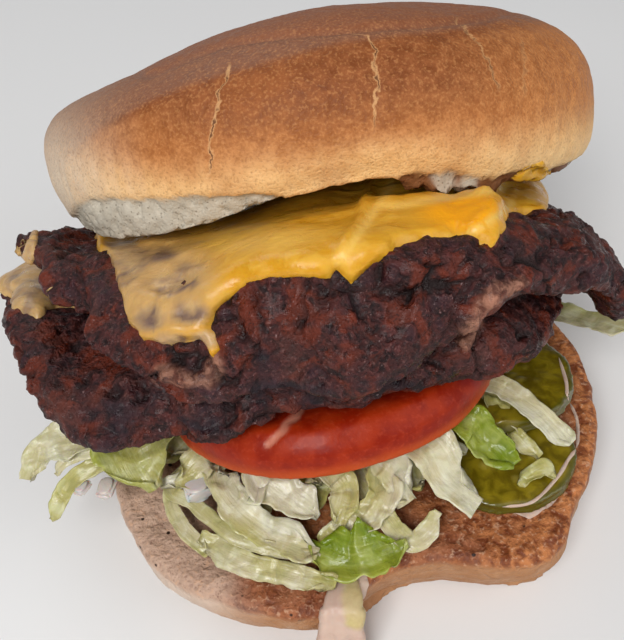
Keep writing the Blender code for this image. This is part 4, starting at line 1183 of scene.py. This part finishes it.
class LeafBatch:
    """Many strips of leaf, gathered into one mesh with their masks."""

    def __init__(self):
        self.points = []
        self.faces = []
        self.masks = {"green": [], "across": [], "along": []}

    def add_strip(self, kind, width, cup, greens, path, number, bounds_at, grid=SHRED_GRID):
        """Add one strip that follows a path; its number shifts the noises."""
        steps, across = grid
        thickness, crumple, wobble = SHRED_KINDS[kind]
        line = np.array([tuple(place) for place in curve_through(path, steps)])
        runs = np.concatenate([[0.0], np.cumsum(np.linalg.norm(np.diff(line, axis=0), axis=1))])
        heading = np.gradient(line, axis=0)
        side = np.cross(heading, SHRED_FACING)
        side /= np.linalg.norm(side, axis=1)[:, None]
        normal = np.cross(side, heading)
        normal /= np.linalg.norm(normal, axis=1)[:, None]
        shares = np.linspace(-1.0, 1.0, across + 1)
        run, share = (grid.ravel() for grid in np.meshgrid(runs, shares, indexing="ij"))
        row = np.repeat(np.arange(steps + 1), across + 1)

        from_end = np.minimum(run, runs[-1] - run) / (0.5 * width)
        from_end += 0.9 * math.sin(2.4 * number) * share
        from_end += 0.5 * soft_noise(flat_places(2.0 * share + 9.0 * number, 0.0 * run), 0.5, 95)
        rounding = np.clip(0.08 + from_end, 0.0, 1.0) ** 0.7
        edge_key = flat_places(run + 60.0 * number, 40.0 * np.sign(share))
        spread = 0.5 * width * share * rounding * (1.0 + wobble * rough_noise(edge_key, 4.0, 91))
        place_key = flat_places(run + 60.0 * number, spread)
        waves = 0.9 * rough_noise(place_key, 6.0, 93, 2) + 0.12 * soft_noise(place_key, 1.6, 94)
        waves -= 0.6 * ease(0.3, 0.0, np.abs(rough_noise(place_key, 5.0, 98)))
        waves += 0.9 * share ** 4 * soft_noise(edge_key, 2.6, 96)
        height = cup * (share ** 2 - 0.5) + crumple * waves
        middle = line[row] + side[row] * spread[:, None] + normal[row] * height[:, None]
        limits = np.array([bounds_at(x, y) for x, y in middle[:, :2]])
        height = np.minimum(middle[:, 2], limits[:, 1] - thickness)
        middle[:, 2] = np.maximum(height, limits[:, 0] + 0.5 * thickness)
        thick = (0.5 * thickness * (1.0 - 0.7 * np.abs(share) ** 3))[:, None] * normal[row]

        green = greens[0] + (greens[1] - greens[0]) * (0.5 + 0.5 * share)
        green += 0.14 * rough_noise(place_key, 5.0, 97)
        self.close_strip(steps, across)
        self.points += list(middle + thick) + list(middle - thick)
        self.masks["green"] += 2 * list(green)
        self.masks["across"] += 2 * list((spread + 20.0) / STRAND_SPAN)
        self.masks["along"] += 2 * list(np.mod(run + 37.0 * number, STRAND_SPAN) / STRAND_SPAN)

    def close_strip(self, steps, across):
        """Faces of the next strip: its two faces and the rim between them."""
        grid = len(self.points) + np.arange((steps + 1) * (across + 1)).reshape(steps + 1, across + 1)
        corners = [grid[:-1, :-1], grid[1:, :-1], grid[1:, 1:], grid[:-1, 1:]]
        face = np.stack(corners, axis=-1).reshape(-1, 4)
        rim = np.concatenate([grid[:-1, 0], grid[-1, :-1], grid[:0:-1, -1], grid[0, :0:-1]])
        ahead = np.roll(rim, -1)
        between = np.stack([rim, rim + grid.size, ahead + grid.size, ahead], axis=-1)
        self.faces += [*face.tolist(), *(face[:, [0, 3, 2, 1]] + grid.size).tolist(), *between.tolist()]

    def build(self, name):
        made = object_from(name, self.points, self.faces)
        made.data.validate()
        work = bmesh.new()
        work.from_mesh(made.data)
        bmesh.ops.recalc_face_normals(work, faces=work.faces)
        work.to_mesh(made.data)
        work.free()
        return made


# Heights that the search for the heap's room starts from, downwards and upwards
SEARCH_DOWN = 90.0
SEARCH_UP = 15.0
# Lowest height that counts as the heel's cut face, and the room where nothing is met
LEAST_FACE = 12.0
OPEN_ROOM = (-5.0, 99.0)


def bounds_finder(floor_tree, ceiling_tree):
    """Gives the heights of the heel's face below a place and of the food above it."""
    known = {}

    def bounds_at(x, y):
        key = (round(x), round(y))
        if key not in known:
            below = floor_tree.ray_cast(Vector((x, y, SEARCH_DOWN)), Vector((0.0, 0.0, -1.0)))[0]
            above = ceiling_tree.ray_cast(Vector((x, y, SEARCH_UP)), Vector((0.0, 0.0, 1.0)))[0]
            low = below.z + 0.2 if below is not None and below.z > LEAST_FACE else OPEN_ROOM[0]
            known[key] = (low, above.z - 0.3 if above is not None else OPEN_ROOM[1])
        return known[key]

    return bounds_at


HEAP_CENTRE = (-10.0, -2.0)
HEAP_REACH = 30.0
FILLER_COUNT = 60
# Number that the first filling shred gets, past those of the others
FILLER_START = 60


def filler_strips(batch, bounds_at):
    """Shorter shreds that fill the heap under and between the ones that show best."""
    random = np.random.default_rng(7)
    for number in range(FILLER_COUNT):
        turn = random.uniform(0.0, math.tau)
        reach = HEAP_REACH * math.sqrt(random.uniform(0.1, 1.0))
        x = HEAP_CENTRE[0] + reach * math.cos(turn)
        y = HEAP_CENTRE[1] + reach * math.sin(turn)
        low, high = bounds_at(x, y)
        level = low + random.uniform(0.3, 0.8) * max(min(high, 30.0) - low, 1.0)
        heading = turn + random.uniform(-0.9, 0.9)
        length = random.uniform(9.0, 17.0)
        path = []
        for step in (-0.5, -0.1, 0.25, 0.5):
            heading += random.uniform(-0.25, 0.25)
            path.append((x + length * step * math.cos(heading), y + length * step * math.sin(heading),
                         level + random.uniform(-1.2, 1.2)))
        green = random.uniform(0.0, 0.4)
        greens = (green, green + random.uniform(-0.1, 0.2))
        kind = random.choice(("strip", "leaf"))
        width = random.uniform(3.0, 6.5)
        cup = random.uniform(0.3, 1.4)
        batch.add_strip(kind, width, cup, greens, path, FILLER_START + number, bounds_at, FILLER_GRID)


def make_lettuce(bounds_at):
    batch = LeafBatch()
    for number, (kind, width, cup, green_a, green_b, path) in enumerate(SHREDS):
        batch.add_strip(kind, width, cup, (green_a, green_b), path, number, bounds_at)
    filler_strips(batch, bounds_at)
    finish_piece(batch.build("lettuce_shreds"), lettuce_finish(), "lettuce", "lettuce", masks=batch.masks)


# Onion dice held in the heap: size and place of each
ONION_DICE = ((6.4, (-31.4, -24.4, 21.6)), (4.4, (-48.6, -23.4, 22.0)), (3.8, (-53.5, -22.4, 21.6)))


def onion_finish():
    onion = Finish("onion", 0.34, coat=(0.1,), scatter=(0.4, 0.003))
    blotch = onion.noise(2.0, 3.0)
    onion.colour(onion.blend(blotch, (206, 200, 190), (184, 172, 172)))
    onion.bumps((blotch, 0.1), (onion.noise(0.6), 0.04))
    return onion.material


def make_onion():
    work = bmesh.new()
    for size, place in ONION_DICE:
        spin = Matrix.Rotation(math.radians(17.0 * size), 4, "Z")
        shape = Matrix.Diagonal((size * MM, 0.8 * size * MM, 0.5 * size * MM, 1.0))
        bmesh.ops.create_cube(work, size=1.0, matrix=Matrix.Translation(Vector(place) * MM) @ spin @ shape)
    bmesh.ops.bevel(work, geom=work.edges[:], offset=0.7 * MM, segments=2, affect="EDGES")
    dice = refine(object_of("onion_dice", work), 2)
    points = points_of(dice)
    set_points(dice, points + normals_of(dice) * (0.35 * rough_noise(points, 4.0, 97))[:, None])
    finish_piece(dice, onion_finish(), "lettuce")


# ---------------------------------------------------------------- sauce

def sauce_finish():
    sauce = Finish("pink_sauce", 0.42, 0.28, coat=(0.06, 0.2), scatter=(0.3, 0.002, (1.0, 0.6, 0.4)))
    blotch = sauce.noise(2.5, 4.0)
    body = sauce.blend(blotch, (206, 182, 164), (190, 158, 142))
    relish = sauce.blend(sauce.noise(0.8), (166, 152, 66), (204, 190, 116))
    sauce.colour(sauce.blend("relish", body, relish))
    sauce.bumps((blotch, 0.15), (sauce.noise(0.7), 0.05))
    return sauce.material


# Relish in the drip, as pixels
RELISH_STRIP = ((345, 560), (346, 580), (347, 600), (350, 620))


def make_drip(material):
    """The drip hangs from the heel's edge; its neck is pushed back under the green leaf."""
    drip, points, normals, pixels = refined_copy("sauce_drip", "sauce")
    down = pixels[:, 1]
    relish = near_lines(pixels + 3.0 * soft_noise(points, 1.5, 103)[:, None], (RELISH_STRIP,), 8.5, 2.5)
    relish = relish * (0.7 + 0.3 * soft_noise(points, 1.8, 104))
    depth = 0.7 * rough_noise(points, 3.0, 102) + 0.4 * relish + 0.5 * ease(570.0, 600.0, down)
    depth += 1.6 * ease(0.2, 0.9, normals[:, 0]) * ease(585.0, 615.0, down)
    depth += 1.3 * ease(0.2, 0.9, -normals[:, 0]) * ease(592.0, 614.0, down)
    neck = ease(608.0, 586.0, down)
    moved = neck[:, None] * (1.2 * UP - 2.8 * BACK)
    moved[:, 0] += 0.5 * neck * (points[:, 0] - points[:, 0].mean())
    set_points(drip, points + normals * depth[:, None] + moved)
    finish_piece(drip, material, "sauce", "sauce", masks={"relish": 0.85 * relish})


# Outlines of the smears, and the line of the bead of sauce, as pixels
HEEL_SMEARS = (
    ((503, 507), (520, 503), (540, 493), (556, 479), (566, 486), (562, 500), (548, 512), (530, 521),
     (510, 516)),
    ((318, 566), (345, 560), (368, 572), (372, 584), (366, 600), (340, 612), (330, 596), (322, 584)),
)
CROWN_SMEAR = (
    (492, 200), (498, 188), (510, 179), (520, 168), (530, 162), (542, 160), (550, 168), (552, 184),
    (546, 204), (520, 212),
)
SAUCE_BEAD = (
    (559, 358), (566, 381), (568, 398), (577, 420), (577, 445), (568, 460), (556, 479), (532, 502),
    (503, 507),
)
# A longer step than this between two points of the bead is a drop from one surface to another
BEAD_BREAK = 1.6
BEAD_SIDES = 8


def bead_along(name, places, radius, material):
    """A thin line of sauce that follows a surface and breaks where the surface steps down."""
    runs = [[]]
    for found in places:
        if runs[-1] and (found[0] - runs[-1][-1][0]).length > BEAD_BREAK:
            runs.append([])
        runs[-1].append(found)
    points = []
    faces = []
    for run in runs:
        if len(run) < 3:
            continue
        start = len(points)
        for i, (place, normal) in enumerate(run):
            heading = (run[min(i + 1, len(run) - 1)][0] - run[max(i - 1, 0)][0]).normalized()
            side = heading.cross(normal).normalized()
            swell = radius * (1.0 + 0.45 * rough_noise(np.array([place]), 4.0, 114)[0])
            swell *= min(1.0, 0.2 + 0.4 * min(i, len(run) - 1 - i))
            for k in range(BEAD_SIDES):
                turn = math.tau * k / BEAD_SIDES
                points.append(place + side * swell * math.cos(turn) + normal * swell * 0.7 * math.sin(turn))
        for i in range(len(run) - 1):
            for k in range(BEAD_SIDES):
                a = start + i * BEAD_SIDES + k
                b = start + i * BEAD_SIDES + (k + 1) % BEAD_SIDES
                faces.append((a, b, b + BEAD_SIDES, a + BEAD_SIDES))
        faces.append(tuple(reversed(range(start, start + BEAD_SIDES))))
        faces.append(tuple(range(len(points) - BEAD_SIDES, len(points))))
    finish_piece(refine(object_from(name, points, faces), 1), material, "sauce")


def make_smears(heel, crown, pickles, sauce, cheese):
    patch_on(heel, "sauce_film", HEEL_SMEARS, 0.35, sauce, "sauce")
    patch_on(crown, "cheese_on_crown", (CROWN_SMEAR,), 0.7, cheese, "cheese", 8)
    tree = surface_tree(heel, *pickles)
    along = [(point.x, point.y) for point in curve_through([(x, y, 0.0) for x, y in SAUCE_BEAD], 60)]
    bead_along("sauce_line", seen_points(tree, along), 0.34, sauce)


# ---------------------------------------------------------------- stage

# Half the floor's side in metres, and the surround's colour and strength
FLOOR_REACH = 4.0
SURROUND = ((0.93, 0.96, 1.0, 1.0), 0.27)
# Lamps: name, place and side in metres, and power in watts; all aim at one place
LAMPS = (
    ("key", (-0.2, -0.55, 0.6), 0.36, 5.6),
    ("fill", (0.65, -0.35, 0.45), 0.6, 2.0),
    ("rim", (-0.3, 0.6, 0.6), 0.5, 1.5),
)
LAMP_AIM = (0.0, 0.0, 0.04)


def make_stage():
    """A pale floor, a pale surround and three soft lamps."""
    work = bmesh.new()
    bmesh.ops.create_grid(work, x_segments=1, y_segments=1, size=FLOOR_REACH)
    floor = object_of("floor", work)
    paper = Finish("floor_paper", 0.8)
    paper.colour(paper.blend(paper.noise(400.0), (223.28, 221.94, 220.59), (228.54, 227.24, 225.93)))
    floor.data.materials.append(paper.material)
    world = bpy.data.worlds.new("soft_world")
    world.use_nodes = True
    background = world.node_tree.nodes["Background"]
    background.inputs["Color"].default_value, background.inputs["Strength"].default_value = SURROUND
    bpy.context.scene.world = world
    for name, place, size, power in LAMPS:
        light = bpy.data.lights.new(name, "AREA")
        light.size = size
        light.energy = power
        lamp = bpy.data.objects.new(name, light)
        lamp.location = place
        aim = Vector(LAMP_AIM) - Vector(place)
        lamp.rotation_euler = aim.to_track_quat("-Z", "Y").to_euler()
        bpy.context.scene.collection.objects.link(lamp)
    bpy.context.scene.view_settings.view_transform = "Standard"


def main():
    make_camera()
    make_stage()
    heel = make_heel()
    crown = make_crown()
    meat = meat_finish()
    _, lower_base = make_patty("lower_patty_meat", "patty_lower", 211, meat, lower_cover)
    upper_meat, upper_base = make_patty("upper_patty_meat", "patty_upper", 307, meat, upper_cover)
    cheese = cheese_finish()
    make_upper_cheese(cheese, upper_base)
    make_lower_cheese(cheese, lower_base, upper_meat)
    for base in (lower_base, upper_base):
        bpy.data.objects.remove(base)
    tomato = make_tomato()
    pickle = pickle_finish()
    pickles = [make_pickle(node, pickle) for node in PICKLE_FRAMES]
    make_lettuce(bounds_finder(surface_tree(heel), surface_tree(tomato)))
    make_onion()
    sauce = sauce_finish()
    make_drip(sauce)
    make_smears(heel, crown, pickles, sauce, cheese)


main()
